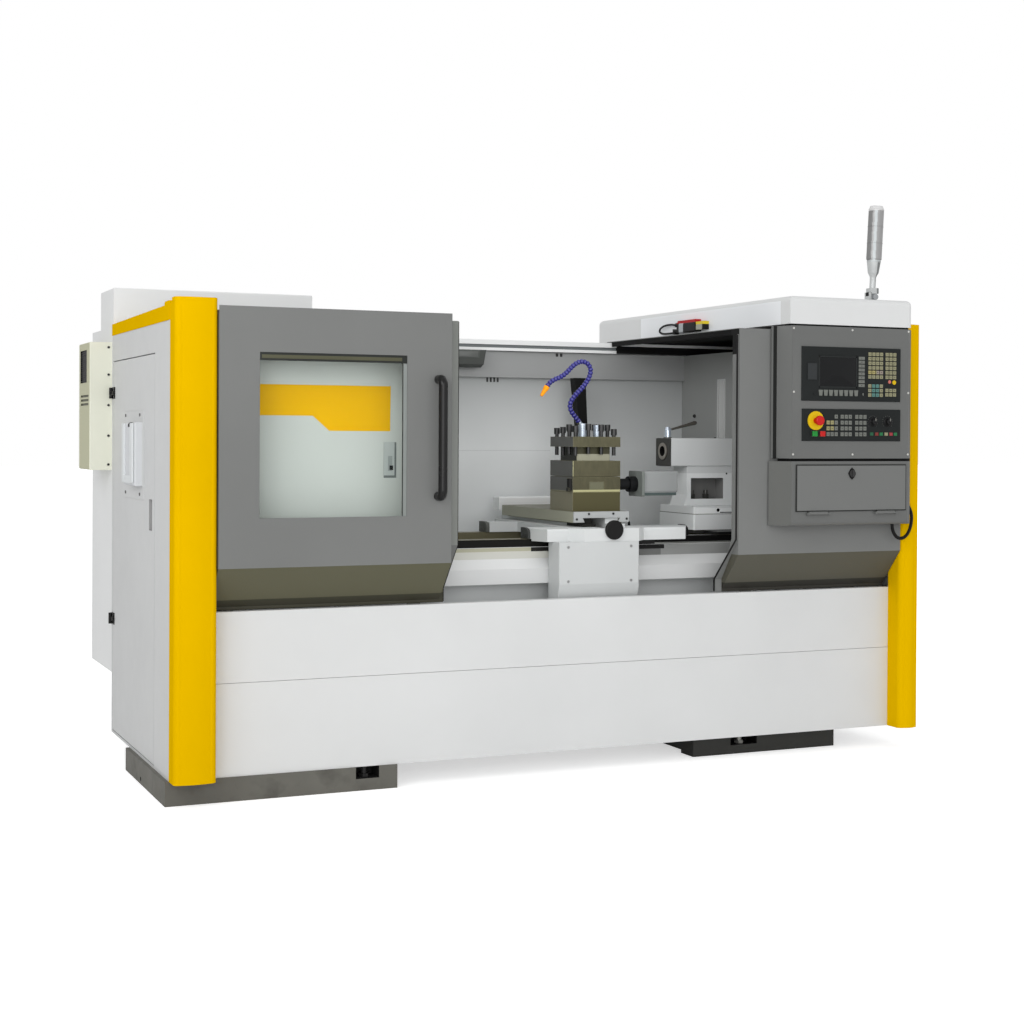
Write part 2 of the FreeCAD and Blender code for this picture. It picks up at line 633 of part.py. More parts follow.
def left_side_panel():
    """Left side: four strips round the service doorway, the closed top beside the column and the hinges."""
    strips = [
        block(0, 24, 0, 250, HOUSING_BOTTOM, SIDE_TOP),
        block(0, 24, 1064, 1085, HOUSING_BOTTOM, SIDE_TOP),
        block(0, 24, 250, 1064, 1604, SIDE_TOP),
        block(0, 24, 250, 1064, HOUSING_BOTTOM, 97),
        block(24, LEFT_COLUMN_X, 0, 1080, SIDE_TOP - SHEET, SIDE_TOP),
        block(LEFT_COLUMN_X - SHEET, LEFT_COLUMN_X, 0, 56, 680, SIDE_TOP - SHEET),
    ]
    hinges = [fixed_hinge(z, 8, 22, (-8, 1070), (-8, 0, 1070, 1084)) for z in SIDE_HINGES_Z]
    return together(strips + [leaf for pair in hinges for leaf in pair.Solids])


def fixed_hinge(z, inner, outer, centre, plate):
    """The fixed half of a hinge: a knuckle and plate above and below the moving knuckle."""
    x, y = centre
    pieces = []
    for low, high in ((z - outer, z - inner - 0.5), (z + inner + 0.5, z + outer)):
        pieces.append(joined([rod((x, y, low), (x, y, high), 8), block(*plate, low, high)]))
    return together(pieces)


def right_side_panel():
    """Right side panel with the closed top beside the column."""
    return joined([
        block(WIDTH - 20, WIDTH - 2, 0, 1085, HOUSING_BOTTOM, SIDE_TOP),
        block(RIGHT_COLUMN_X, WIDTH - 20, 0, 1080, SIDE_TOP - SHEET, SIDE_TOP),
    ])


def side_door():
    """Service door in the left side: strips round the pull recess, spindle-end cover and two hinges."""
    leaf = [
        block(0, 24, 254, 1060, 101, PULL_Z[0]),
        block(0, 24, 254, 1060, PULL_Z[1], 1600),
        block(0, 24, 254, PULL_Y[0], *PULL_Z),
        block(0, 24, PULL_Y[1], 1060, *PULL_Z),
        block(18, 24, *PULL_Y, *PULL_Z),
    ]
    plate = block(-3, 0, 440, 810, 1060, 1396)
    hood = block(-38, -3, 450, 655, 1112, 1352)
    hood = softened(hood, 12, lambda a, b: a.x < -37 and b.x < -37)
    hood = without(hood, [block(-39, -16, 500, 560, 1334, 1353)])
    screws = [rod((-6, y, z), (-3, y, z), 6) for y in (504, 778) for z in (1080, 1380)]
    knuckles = [joined([rod((-8, 1070, z - 8), (-8, 1070, z + 8), 8),
                        block(-4, 0, 1024, 1064, z - 8, z + 8),
                        block(-8, -4, 1024, 1066, z - 8, z + 8)]) for z in SIDE_HINGES_Z]
    return together(leaf + [joined([plate, hood] + screws)] + knuckles)


def inner_walls():
    """Rear wall, the duct panel under its beam and the right inner wall."""
    rear = joined([block(LEFT_COLUMN_X, RIGHT_COLUMN_X, REAR_WALL_Y - 3, REAR_WALL_Y, BASE_TOP, BEAM_TOP),
                   block(RIGHT_COLUMN_X, WIDTH - 22, REAR_WALL_Y - 3, REAR_WALL_Y, BASE_TOP, SIDE_TOP)])
    seam = block(LEFT_COLUMN_X, WIDTH, REAR_WALL_Y - 4, REAR_WALL_Y - 2, 1240, 1242)
    duct = block(981, 2670, 1062, REAR_WALL_Y - 3, 1571, 1688)
    right = block(2670, 2670 + SHEET, 60, REAR_WALL_Y - 3, BASE_TOP, 1690)
    folds = [block(2666, 2670, y, y + 12, 645, 1570) for y in (696, 745)]
    bracket = block(2460, 3035, REAR_WALL_Y, REAR_WALL_Y + 12, 1600, CANOPY_Z[0])
    return together([without(rear, [seam]), duct, right, bracket] + folds)


def rear_beam():
    """Grooved rear beam that carries the doors' roofs."""
    body = block(LEFT_COLUMN_X, RIGHT_COLUMN_X, 1040, REAR_WALL_Y - 3, 1690, BEAM_TOP)
    groove = block(LEFT_COLUMN_X - 1, RIGHT_COLUMN_X + 1, 1038, 1046, 1703, 1717)
    return without(body, [groove])


def work_lamp():
    """Long machine lamp under the rear beam."""
    lamp = prism_x([(1040, 1688), (985, 1688), (992, 1624), (1024, 1611), (1040, 1617)], 1340, 1620)
    slanted_end = prism_y([(1607, 1600), (1630, 1600), (1630, 1695), (1620, 1695)], 980, 1041)
    return without(lamp, [slanted_end])


def electrical_cabinet():
    """Rear electrical cabinet with the taller box on top."""
    back = CABINET_BACK
    body = block(0, 850, REAR_WALL_Y, back, 330, 1745)
    upper = block(5, 850, 1092, 1378, 1745, 1907)
    upper = softened(upper, 6, lambda a, b: a.z > 1906 and b.z > 1906)
    hinges = [fixed_hinge(z, 35, 55, (855, back + 27), (850, 855, back - 40, back + 27))
              for z in CABINET_HINGES_Z]
    return together([joined([body] + [leaf for pair in hinges for leaf in pair.Solids]), upper])


def cabinet_door():
    """Rear door of the electrical cabinet on two hinges, with its turn lock."""
    back, face = CABINET_BACK, CABINET_BACK + 23.0
    leaf = block(4, 846, back + 3, face, 340, 1735)
    leaf = softened(leaf, 5, lambda a, b: a.y > face - 1 and b.y > face - 1)
    knuckles = [joined([rod((855, back + 27, z - 35), (855, back + 27, z + 35), 8),
                        block(810, 855, face, back + 27, z - 33, z + 33)]) for z in CABINET_HINGES_Z]
    lock = rod((50, face, 1040), (50, face + 7, 1040), 14)
    return joined([leaf, lock] + knuckles)


def cooling_unit():
    """Cabinet cooling unit with its upper grille window, louvres and edge screws."""
    body = softened(block(-91, 0, 1095, 1352, 1159, 1683), 6, lambda a, b: a.x < -90 and b.x < -90)
    window = block(-92, -85, 1160, 1312, 1518, 1652)
    louvres = [block(-92, -86, 1118, 1300, z, z + 9) for z in (1424, 1441, 1458)]
    screws = [rod((-14, 1092, z), (-14, 1095, z), 5) for z in (1182, 1300, 1425, 1550, 1662)]
    return joined([without(body, [window] + louvres)] + screws)


# Sliding doors

def door_shell(x0, x1, top):
    """A door's folded sheet: upright face, slanting skirt, lip, edge folds and its roof."""
    lip0, lip1 = DOOR_LIP_Z
    sheet = [(DOOR_FRONT, top), (DOOR_FRONT, DOOR_CREASE_Z), (DOOR_LIP_Y, lip1), (DOOR_LIP_Y, lip0),
             (DOOR_LIP_Y + SHEET, lip0), (DOOR_LIP_Y + SHEET, lip1 + 1),
             (DOOR_FRONT + SHEET, DOOR_CREASE_Z + 1), (DOOR_FRONT + SHEET, top)]
    edge = [(DOOR_FRONT, ROOF_Z), (DOOR_FRONT, DOOR_CREASE_Z), (DOOR_LIP_Y, lip1),
            (DOOR_LIP_Y + SHEET, lip1), (DOOR_LIP_Y + SHEET, BAND_FOOT_Z),
            (DOOR_INNER_Y + SHEET, BAND_BEND_Z), (DOOR_INNER_Y + SHEET, ROOF_Z)]
    roof = block(x0, x1, DOOR_FRONT + SHEET, 1080, ROOF_Z, ROOF_Z + 3)
    roof_edges = [block(x, x + SHEET, DOOR_INNER_Y, 1030, ROOF_Z - 22, ROOF_Z) for x in (x0, x1 - SHEET)]
    pads = [block(x, x + 60, 1050, 1074, BEAM_TOP + SLIDE_GAP, ROOF_Z) for x in (x0 + 60, x1 - 120)]
    rollers = [block(x, x + 50, 26, DOOR_LIP_Y + SHEET, PANEL_TOP + SLIDE_GAP, lip0)
               for x in (x0 + 80, x1 - 130)]
    folds = [prism_x(edge, x, x + SHEET) for x in (x0, x1 - SHEET)]
    return joined([prism_x(sheet, x0, x1), roof] + roof_edges + pads + rollers + folds)


def edge_band(x0, x1, y, top, slanted_edge):
    """The sheet along a door's inner edge, upright, then inwards, then down to the sill."""
    foot_y, foot_z = DOOR_LIP_Y, DOOR_LIP_Z[0]
    outline = [(y, top), (y, BAND_BEND_Z), (foot_y, BAND_FOOT_Z), (foot_y, foot_z),
               (foot_y + SHEET, foot_z), (foot_y + SHEET, BAND_FOOT_Z + 1), (y + SHEET, BAND_BEND_Z + 1),
               (y + SHEET, top)]
    return without(prism_x(outline, x0, x1), [prism_y(slanted_edge, y - 1, foot_y + SHEET + 1)])


def left_door():
    """Left sliding door with its window opening and the band that narrows to the sill."""
    x0, x1 = LEFT_DOOR_X
    opening = block(*WINDOW_X, DOOR_FRONT - 1, DOOR_FRONT + SHEET + 1, *WINDOW_Z)
    free_edge, foot_edge = 1075, 1046
    outside = [(free_edge, BAND_BEND_Z), (foot_edge, BAND_FOOT_Z), (foot_edge, DOOR_LIP_Z[0] - 1),
               (free_edge + 1, DOOR_LIP_Z[0] - 1), (free_edge + 1, BAND_BEND_Z)]
    band = edge_band(x1 - SHEET, free_edge, DOOR_INNER_Y, 1737, outside)
    return joined([without(door_shell(x0, x1, 1760), [opening]), band])


def left_window():
    """Window pane behind the left door's opening."""
    y = DOOR_FRONT + SHEET
    return block(WINDOW_X[0] - 12, WINDOW_X[1] + 12, y, y + 6, WINDOW_Z[0] - 12, WINDOW_Z[1] + 12)


def left_handle():
    """Bow handle of the left door."""
    x, y, r = 976.0, -133.0, 16.8
    z0, z1, bend = 1067.0 + r, 1531.0 - r, 22.0
    bar = rod((x, y, z0 + bend), (x, y, z1 - bend), r)
    ends = []
    for z, sign in ((z0, 1), (z1, -1)):
        corner = Part.makeTorus(bend, r, Vector(x, y + bend, z + sign * bend), Vector(1, 0, 0))
        window = block(x - 20, x + 20, y - 20, y + bend, min(z - 20 * sign, z + bend * sign),
                       max(z - 20 * sign, z + bend * sign))
        ends.append(corner.common(window))
        ends.append(rod((x, y + bend, z), (x, DOOR_FRONT, z), r))
    return joined([bar] + ends)


def right_door():
    """Right sliding door with the band that widens to the sill."""
    x0, x1 = RIGHT_DOOR_X
    free_edge, foot_edge = x0 - 9, x0 - 38
    outside = [(foot_edge - 1, ROOF_Z), (free_edge, ROOF_Z), (free_edge, BAND_BEND_Z),
               (foot_edge, BAND_FOOT_Z), (foot_edge - 1, BAND_FOOT_Z)]
    band = edge_band(foot_edge, x0 + SHEET, DOOR_FRONT + SHEET, 1720, outside)
    return joined([door_shell(x0, x1, ROOF_Z + 3), band])


# Console and canopy

def console_outline(left, inset):
    """Plan of the console: slanted left side, straight front and small right chamfer."""
    front = CONSOLE_FRONT + inset
    return [(left, CONSOLE_BACK), (2461, front), (3030, front), (3046, -154), (3055, -150),
            (3055, CONSOLE_BACK)]


def console_body():
    """Console: screen housing above, storage box with its pocket below."""
    box_top, housing_bottom = CONSOLE_SPLIT
    upper = prism_z(console_outline(2436, 0), housing_bottom, CONSOLE_TOP)
    back_strip = block(2411, 2440, CONSOLE_BACK - 4, CONSOLE_BACK, housing_bottom, CONSOLE_TOP)
    neck = prism_z(console_outline(2446, 14), box_top - 3, housing_bottom + 3)
    lower = prism_z(console_outline(2402, 0), CONSOLE_BOTTOM, box_top)
    lower = softened(lower, 20, lambda a, b: max(a.z, b.z) < CONSOLE_BOTTOM + 1 and max(a.y, b.y) < -169)
    pocket = block(2489, 3012, CONSOLE_FRONT - 1, -104, 1016, 1191)
    wells = [rod((p.x, CONSOLE_FRONT - 1, p.z), (p.x, CONSOLE_FRONT + 12, p.z), r)
             for p, r in ((START, 8.5), (STOP, 8.5), (ESTOP, 12.5), (FEED, 5.5), (SPEED, 5.5))]
    lugs = []
    for x in FLAP_PINS_X:
        for x0, x1 in ((x - 10, x - 1), (x + 91, x + 100)):
            lug = block(x0, x1, HINGE_PIN_Y - 4.4, CONSOLE_FRONT, HINGE_PIN_Z - 5, HINGE_PIN_Z + 4.4)
            eye = rod((x0 - 1, HINGE_PIN_Y, HINGE_PIN_Z), (x1 + 1, HINGE_PIN_Y, HINGE_PIN_Z),
                      PIN_R + RUNNING)
            lugs.append(without(lug, [eye]))
    return joined([without(joined([upper, back_strip, neck, lower]), [pocket] + wells)] + lugs)


def console_flap():
    """Front flap of the storage box, hinged along its lower edge."""
    y0, y1 = CONSOLE_FRONT - 6.0, CONSOLE_FRONT - 2.0
    leaf = block(2480, 3018, y0, y1, 1009, 1199)
    leaf = softened(leaf, 3, lambda a, b: a.y < y0 + 1 and b.y < y0 + 1)
    gasket = without(block(2482, 3016, y1, CONSOLE_FRONT - 0.4, 1011, 1197),
                     [block(2486, 3013.5, y1, CONSOLE_FRONT, 1015, 1192.5)])
    x, z = LATCH.x, LATCH.z
    corners = [(0, 25), (11, 15), (18, 0), (11, -15), (0, -25), (-11, -15), (-18, 0), (-11, 15)]
    shield = prism_y([(x + dx, z + dz) for dx, dz in corners], y0 - 2, y0)
    pin = [rod((x - 9, HINGE_PIN_Y, HINGE_PIN_Z), (x + 99, HINGE_PIN_Y, HINGE_PIN_Z), PIN_R)
           for x in FLAP_PINS_X]
    tabs = [block(x, x + 90, HINGE_PIN_Y, y1, HINGE_PIN_Z, 1012) for x in FLAP_PINS_X]
    hole = rod((x, y0 - 3, z), (x, CONSOLE_FRONT, z), 8 + RUNNING)
    return without(joined([leaf, gasket, shield] + pin + tabs), [hole])


def flap_latch():
    """Quarter-turn latch of the flap: knob, shaft and inner tongue."""
    x, z = LATCH.x, LATCH.z
    shaft = rod((x, -181, z), (x, CONSOLE_FRONT + 14, z), 8)
    knob = rod((x, -184, z), (x, CONSOLE_FRONT - 8.3, z), 14)
    wing = block(x - 4, x + 4, -190, -184, z - 13, z + 13)
    tongue = block(x - 8, x + 8, CONSOLE_FRONT + 8, CONSOLE_FRONT + 12, z - 8, z + 24)
    return joined([shaft, knob, wing, tongue])


def keys(columns, rows, width, height):
    """Keys of one size at every crossing of columns and rows, each standing 2 mm out of its panel."""
    y = CONSOLE_FRONT - 6.0
    return [block(x - width / 2.0, x + width / 2.0, y - 2, y + 0.5, z - height / 2.0, z + height / 2.0)
            for x in columns for z in rows]


def spaced(first, pitch, count):
    """Evenly spaced places."""
    return [first + pitch * i for i in range(count)]


def operator_panel():
    """Control unit: framed screen, side flap, tapered and square soft keys and the keypads."""
    y = CONSOLE_FRONT - 6.0
    plate = block(2504, 2986, y, CONSOLE_FRONT, 1456, 1675)
    plate = softened(plate, 4, lambda a, b: a.y < y + 1 and b.y < y + 1)
    screen = block(2583, 2771, y - 1, y + 3, 1508, 1640)
    flap = block(2529, 2572, y - 4, y + 1, 1541, 1607)
    soft_keys = [prism_y([(x - 10, 1501), (x + 10, 1501), (x + 7, 1477), (x - 7, 1477)], y - 2, y + 0.5)
                 for x in spaced(2592.5, 24.5, 8)]
    round_keys = [rod((x, y - 2, z), (x, y + 0.5, z), r)
                  for x, z, r in ((2563, 1485, 6), (2801, 1485, 6), (2952, 1536, 9), (2929, 1538, 7))]
    columns_left, columns_right, rows = spaced(2831, 19, 4), spaced(2916, 19, 3), spaced(1650, -18.6, 6)
    squares = keys(columns_left + columns_right, rows, 15, 14.5)
    squares += keys(columns_left, (1520, 1501.5, 1483), 15, 14) + keys(columns_right, (1503, 1485), 15, 14)
    side_keys = keys([2790.5], spaced(1632, -15.86, 8), 29, 12)
    return joined([without(plate, [screen]), flap] + soft_keys + round_keys + squares + side_keys)


def machine_panel():
    """Machine control panel: key groups, ring plate of the emergency stop and button collars."""
    y = CONSOLE_FRONT - 6.0
    plate = block(2507, 2987, y, CONSOLE_FRONT, 1294, 1424)
    plate = softened(plate, 4, lambda a, b: a.y < y + 1 and b.y < y + 1)
    rows = (1393, 1369, 1345.5, 1322)
    pads = keys([2668], rows, 15, 16) + keys([2629, 2648.5], rows[1:], 15, 16)
    pads += keys([2697, 2716.5, 2736, 2768, 2788, 2808], rows, 15, 16)
    pads += keys([2842, 2867, 2889, 2914, 2938, 2960], [1323.5], 16, 13)
    collars = [block(p.x - 14, p.x + 14, y - 2, y + 0.5, p.z - 12.5, p.z + 12.5) for p in (START, STOP)]
    ring = rod((ESTOP.x, y - 4, ESTOP.z), (ESTOP.x, y, ESTOP.z), 38)
    bores = [rod((p.x, y - 5, p.z), (p.x, CONSOLE_FRONT + 1, p.z), r + RUNNING)
             for p, r in ((START, 8), (STOP, 8), (ESTOP, 12), (FEED, 5), (SPEED, 5))]
    solid = joined([plate] + pads + collars + [ring])
    return without(solid, bores)


def e_stop():
    """Mushroom head of the emergency stop on its stem."""
    x, z, y = ESTOP.x, ESTOP.z, CONSOLE_FRONT - 6.0
    stem = rod((x, y - 24, z), (x, y + 5.5, z), 12)
    head = taper((x, y - 17, z), (x, y - 26, z), 14, 20)
    crown = softened_disc(x, z, y - 26, 20, 12)
    return joined([stem, head, crown])


def softened_disc(x, z, y, radius, thickness):
    """A disc facing the front with a rounded rim."""
    disc = rod((x, y, z), (x, y - thickness, z), radius)
    rim = [e for e in disc.Edges
           if abs(e.BoundBox.YMax - (y - thickness)) < 0.01 and e.BoundBox.YLength < 0.1]
    return disc.makeFillet(5.0, rim)


def push_button(place):
    """A push button with a square cap on a round stem."""
    y, x, z = CONSOLE_FRONT - 6.0, place.x, place.z
    stem = rod((x, y - 8, z), (x, y + 5, z), 8)
    cap = block(x - 12, x + 12, y - 12, y - 7, z - 10.5, z + 10.5)
    cap = softened(cap, 2, lambda a, b: a.y < y - 11 and b.y < y - 11)
    return joined([stem, cap])


def override_knob(place):
    """A rotary override knob with its pointer rib."""
    y = CONSOLE_FRONT - 6.0
    shaft = rod((place.x, y - 2, place.z), (place.x, y + 5.5, place.z), 5)
    skirt = taper((place.x, y - 0.4, place.z), (place.x, y - 6, place.z), 19, 15)
    body = softened_disc(place.x, place.z, y - 6, 13, 14)
    pointer = block(place.x - 2, place.x + 2, y - 22, y - 6, place.z - 2, place.z + 14)
    return joined([shaft, skirt, body, pointer])


def canopy():
    """Long closed trunk over the console, running to the back."""
    z0, z1 = CANOPY_Z
    body = block(CANOPY_LEFT, 3050, CONSOLE_FRONT, 1520, z0, z1)
    body = softened(body, 22, lambda a, b: (a.y < -169 and b.y < -169 and a.x > 3049 and b.x > 3049)
                    or (a.z > z1 - 1 and b.z > z1 - 1))
    shadow_strip = block(2470, 3030, CONSOLE_FRONT + 5, -100, CONSOLE_TOP, z0)
    tie = block(3050, RIGHT_COLUMN_X, -60, 0, z0 + 2, 1778)
    return joined([body, shadow_strip, tie])


def door_switch():
    """Door safety switch on the canopy's side: lidded body, end block, glands and its cable loop."""
    x0, x1 = CANOPY_LEFT - 30.0, CANOPY_LEFT
    head = block(x0, x1, 466, 530, 1776, 1812)
    body = softened(block(x0 - 4, x1, 530, 672, 1770, 1812), 5, lambda a, b: abs(a.y - b.y) > 50)
    lid = block(x0, x1, 534, 690, 1812, 1824)
    stub_end = block(x0 + 4, x1, 672, 705, 1772, 1818)
    glands = [rod((2433, 705, 1808), (2433, 725, 1808), 9), rod((2433, 705, 1782), (2433, 735, 1782), 8)]
    cable = cord_tube("switch_cable", SWITCH_ROUTE, SWITCH_CABLE_R)
    clamp = block(2427, x1, 728, 746, 1767, 1790)
    return joined([head, body, lid, stub_end, cable, clamp] + glands)


def console_conduit():
    """Cable conduit from the console's bottom to the right column."""
    return cord_tube("console_conduit", CONDUIT_ROUTE, CONDUIT_R)


def lamp_bracket():
    """Fold-down foot of the signal lamp: base plate and fork."""
    x, y, z = MAST.x, MAST.y, CANOPY_Z[1]
    foot = joined([rod((x, y, z), (x, y, z + 5), 30), block(x - 13, x + 13, y - 17, y + 17, z + 5, z + 12)])
    ears = [joined([block(x - 13, x + 13, y + s, y + s + 6, z + 12, MAST.z),
                    rod((x, y + s, MAST.z), (x, y + s + 6, MAST.z), 13)]) for s in (-17, 11)]
    knob = joined([rod((x, y - 29, MAST.z), (x, y - 17, MAST.z), 12),
                   rod((x, y - 17, MAST.z), (x, y + 17, MAST.z), 4)])
    return joined([foot] + ears + [knob])


def signal_mast():
    """Signal lamp: eye, stem, cone and closed light column."""
    x, y, z = MAST
    eye = rod((x, y - 10.7, z), (x, y + 10.7, z), 12)
    stem = rod((x, y, z + 8), (x, y, 2000), 8.5)
    socket = taper((x, y, 1996), (x, y, 2050), 12, 26)
    ring = rod((x, y, 2050), (x, y, 2062), 29)
    light = rod((x, y, 2062), (x, y, 2272), 32)
    cap = taper((x, y, 2272), (x, y, 2288), 33, 26)
    seams = [rod((x, y, s), (x, y, s + 2), 33) for s in (2130, 2200)]
    mast = joined([eye, stem, socket, ring, light, cap] + seams)
    mast = without(mast, [rod((x, y - 12, z), (x, y + 12, z), 4 + RUNNING)])
    mast.rotate(MAST, Vector(0, 1, 0), MAST_LEAN)
    return mast


PIECES = {
    "plinths": plinths,
    "base": base,
    "front_panels": front_panels,
    "bed": bed,
    "screw_cover": screw_cover,
    "headstock": headstock,
    "headstock_guard": headstock_guard,
    "left_column": left_column,
    "right_column": right_column,
    "left_side_panel": left_side_panel,
    "right_side_panel": right_side_panel,
    "inner_walls": inner_walls,
    "rear_beam": rear_beam,
    "work_lamp": work_lamp,
    "electrical_cabinet": electrical_cabinet,
    "cooling_unit": cooling_unit,
    "console_body": console_body,
    "operator_panel": operator_panel,
    "machine_panel": machine_panel,
    "canopy": canopy,
    "door_switch": door_switch,
    "lamp_bracket": lamp_bracket,
    "console_conduit": console_conduit,
    "side_door": side_door,
    "cabinet_door": cabinet_door,
    "left_door": left_door,
    "left_window": left_window,
    "left_handle": left_handle,
    "right_door": right_door,
    "spindle": spindle,
    "chuck_body": chuck_body,
    "jaw_1": lambda: jaw(0),
    "jaw_2": lambda: jaw(1),
    "jaw_3": lambda: jaw(2),
    "z_screw": z_screw,
    "saddle": saddle,
    "apron": apron,
    "saddle_wipers": saddle_wipers,
    "cable_post": cable_post,
    "x_screw": x_screw,
    "cross_slide": cross_slide,
    "slide_rear_cover": slide_rear_cover,
    "tool_post_base": tool_post_base,
    "index_motor": index_motor,
    "coolant_hose": coolant_hose,
    "coolant_nozzle": coolant_nozzle,
    "turret_block": turret_block,
    "tool_bolts": tool_bolts,
    "tail_base": tail_base,
    "tail_body": tail_body,
    "quill": quill,
    "quill_clamp": quill_clamp,
    "console_flap": console_flap,
    "flap_latch": flap_latch,
    "e_stop": e_stop,
    "start_button": lambda: push_button(START),
    "stop_button": lambda: push_button(STOP),
    "feed_knob": lambda: override_knob(FEED),
    "speed_knob": lambda: override_knob(SPEED),
    "signal_mast": signal_mast,
}


def main():
    """Build every piece, move it to the origin and write it."""
    os.makedirs("parts", exist_ok=True)
    for name, make in PIECES.items():
        shape = make()
        shape.translate(ORIGIN * -1.0)
        shape.exportStep("parts/%s.step" % name)
        box = shape.BoundBox
        print("%-18s solids %2d valid %s volume %.5f m3 x %.0f..%.0f y %.0f..%.0f z %.0f..%.0f" % (
            name, len(shape.Solids), shape.isValid(), shape.Volume / 1e9,
            box.XMin, box.XMax, box.YMin, box.YMax, box.ZMin, box.ZMax))


main()
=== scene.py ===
"""Dressing of a CNC turning lathe: finishes, fittings, cords, light and camera.

Sizes are written in millimetres in the machine's layout frame (x = 0 at the left side panel, y = 0 at
the front panels, z = 0 on the floor) and turned into the row frame, in metres, by place().
"""

import logging
import math
from dataclasses import dataclass
from enum import Enum
from typing import Iterable, Sequence

import bpy
import numpy as np
from mathutils import Matrix, Vector

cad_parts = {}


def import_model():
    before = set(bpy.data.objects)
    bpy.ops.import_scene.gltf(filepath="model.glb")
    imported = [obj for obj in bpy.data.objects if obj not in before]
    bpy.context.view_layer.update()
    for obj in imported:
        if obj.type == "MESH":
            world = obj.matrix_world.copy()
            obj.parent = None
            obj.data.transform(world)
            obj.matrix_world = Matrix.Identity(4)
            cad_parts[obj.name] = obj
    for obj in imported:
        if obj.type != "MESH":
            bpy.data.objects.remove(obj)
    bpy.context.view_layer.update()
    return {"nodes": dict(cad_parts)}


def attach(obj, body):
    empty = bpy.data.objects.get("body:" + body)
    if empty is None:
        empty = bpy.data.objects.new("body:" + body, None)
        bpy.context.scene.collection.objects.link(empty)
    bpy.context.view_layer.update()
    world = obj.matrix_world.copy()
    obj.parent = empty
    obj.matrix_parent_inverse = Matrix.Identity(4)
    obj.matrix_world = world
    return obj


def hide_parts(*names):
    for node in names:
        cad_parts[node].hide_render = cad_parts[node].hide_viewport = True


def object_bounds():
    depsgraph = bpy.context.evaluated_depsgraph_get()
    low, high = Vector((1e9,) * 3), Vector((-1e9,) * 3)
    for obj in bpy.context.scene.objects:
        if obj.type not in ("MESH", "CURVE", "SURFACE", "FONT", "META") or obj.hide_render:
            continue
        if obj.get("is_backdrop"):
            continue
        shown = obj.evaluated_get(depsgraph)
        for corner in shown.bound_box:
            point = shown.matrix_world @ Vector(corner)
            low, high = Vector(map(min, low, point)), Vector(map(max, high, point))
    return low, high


LOG = logging.getLogger("lathe")

Colour = tuple[float, float, float]
Point = tuple[float, float, float]

LAYOUT_ORIGIN = np.array([1532.5, 686.5, 0.0])   # the footprint's centre in the layout frame
MM = 0.001


def place(points: Iterable[Sequence[float]] | np.ndarray) -> np.ndarray:
    """Layout millimetres to row-frame metres.

    Args:
        points: one point or an array of points, in layout millimetres.
    Returns:
        The same points in metres: (point - footprint centre) / 1000.
    """
    return (np.asarray(points, float) - LAYOUT_ORIGIN) * MM


def linear(colour: Colour) -> tuple[float, float, float, float]:
    """A display colour as the linear RGBA that shader sockets take.

    Args:
        colour: display red, green and blue, 0 to 1.
    Returns:
        Linear red, green, blue and an alpha of 1.
    """
    c = np.asarray(colour, float)
    lin = np.where(c <= 0.04045, c / 12.92, ((c + 0.055) / 1.055) ** 2.4)
    return (*lin.tolist(), 1.0)


# Finishes

class Texture(Enum):
    """The fine relief that a finish has."""

    POWDER = "powder coat, a faint orange peel"
    CAST = "painted casting, coarser and uneven"
    GROUND = "ground or milled metal, fine lines"
    MOULDED = "moulded plastic or rubber, fine grain"
    SMOOTH = "polished, no relief"


@dataclass(frozen=True)
class Zone:
    """A box in the layout frame inside which a node has another colour and sheen."""

    low: Point
    high: Point
    colour: Colour
    roughness: float = 0.5
    metallic: float = 0.0
    fade: float = 0.0            # millimetres over which it comes in from each face


@dataclass(frozen=True)
class Finish:
    """One finish, with the nodes that give its colour, relief and wear."""

    name: str
    colour: Colour
    roughness: float = 0.45
    metallic: float = 0.0
    texture: Texture = Texture.POWDER
    uneven: float = 0.04         # how far the colour wanders, as a share
    lines: Point = (1.0, 1.0, 1.0)   # stretch of ground lines: small along them
    coat: float = 0.0
    alpha: float = 1.0
    soil: float = 0.0            # how strongly dust and oil darken patches
    worn: float = 0.0            # how bright the rubbed edges are
    shine: float = 0.2           # mirror-like reflection of paint and plastic
    edge: float = 0.0014         # metres, radius of the sheet folds and machined edges
    zones: tuple[Zone, ...] = ()

    def material(self) -> bpy.types.Material:
        """The finish as a material, made once and then shared."""
        made = bpy.data.materials.get(self.name)
        return made or NodePainter(self).build()


def paint(name: str, colour: Colour, uneven: float = 0.012, zones: tuple[Zone, ...] = (),
          edge: float = Finish.edge) -> Finish:
    """Satin paint on sheet metal."""
    return Finish(name, colour, 0.42, uneven=uneven, edge=edge, zones=zones)


def cast_paint(name: str, colour: Colour, uneven: float = 0.015, zones: tuple[Zone, ...] = ()) -> Finish:
    """Satin paint on a casting."""
    return Finish(name, colour, 0.42, texture=Texture.CAST, uneven=uneven, zones=zones)


def moulded(name: str, colour: Colour, roughness: float = 0.45, zones: tuple[Zone, ...] = ()) -> Finish:
    """Plain moulded plastic or rubber."""
    return Finish(name, colour, roughness, texture=Texture.MOULDED, zones=zones)


def silver(name: str, colour: Colour, metallic: float = 0.3, zones: tuple[Zone, ...] = ()) -> Finish:
    """The signal lamp's bright grey."""
    return Finish(name, colour, 0.38, metallic, Texture.SMOOTH, 0.02, zones=zones)


RELIEF = {   # noise scale per metre, bump height in metres, bump strength
    Texture.POWDER: (520.0, 0.00012, 0.22),
    Texture.CAST: (190.0, 0.0005, 0.35),
    Texture.GROUND: (26.0, 0.00008, 0.30),
    Texture.MOULDED: (900.0, 0.00010, 0.25),
}

# Noise scale per metre and detail
COLOUR_DRIFT = (2.2, 4.0)
SOIL_PATCHES = (9.0, 8.0)
SHEEN_DRIFT = (14.0, 5.0)

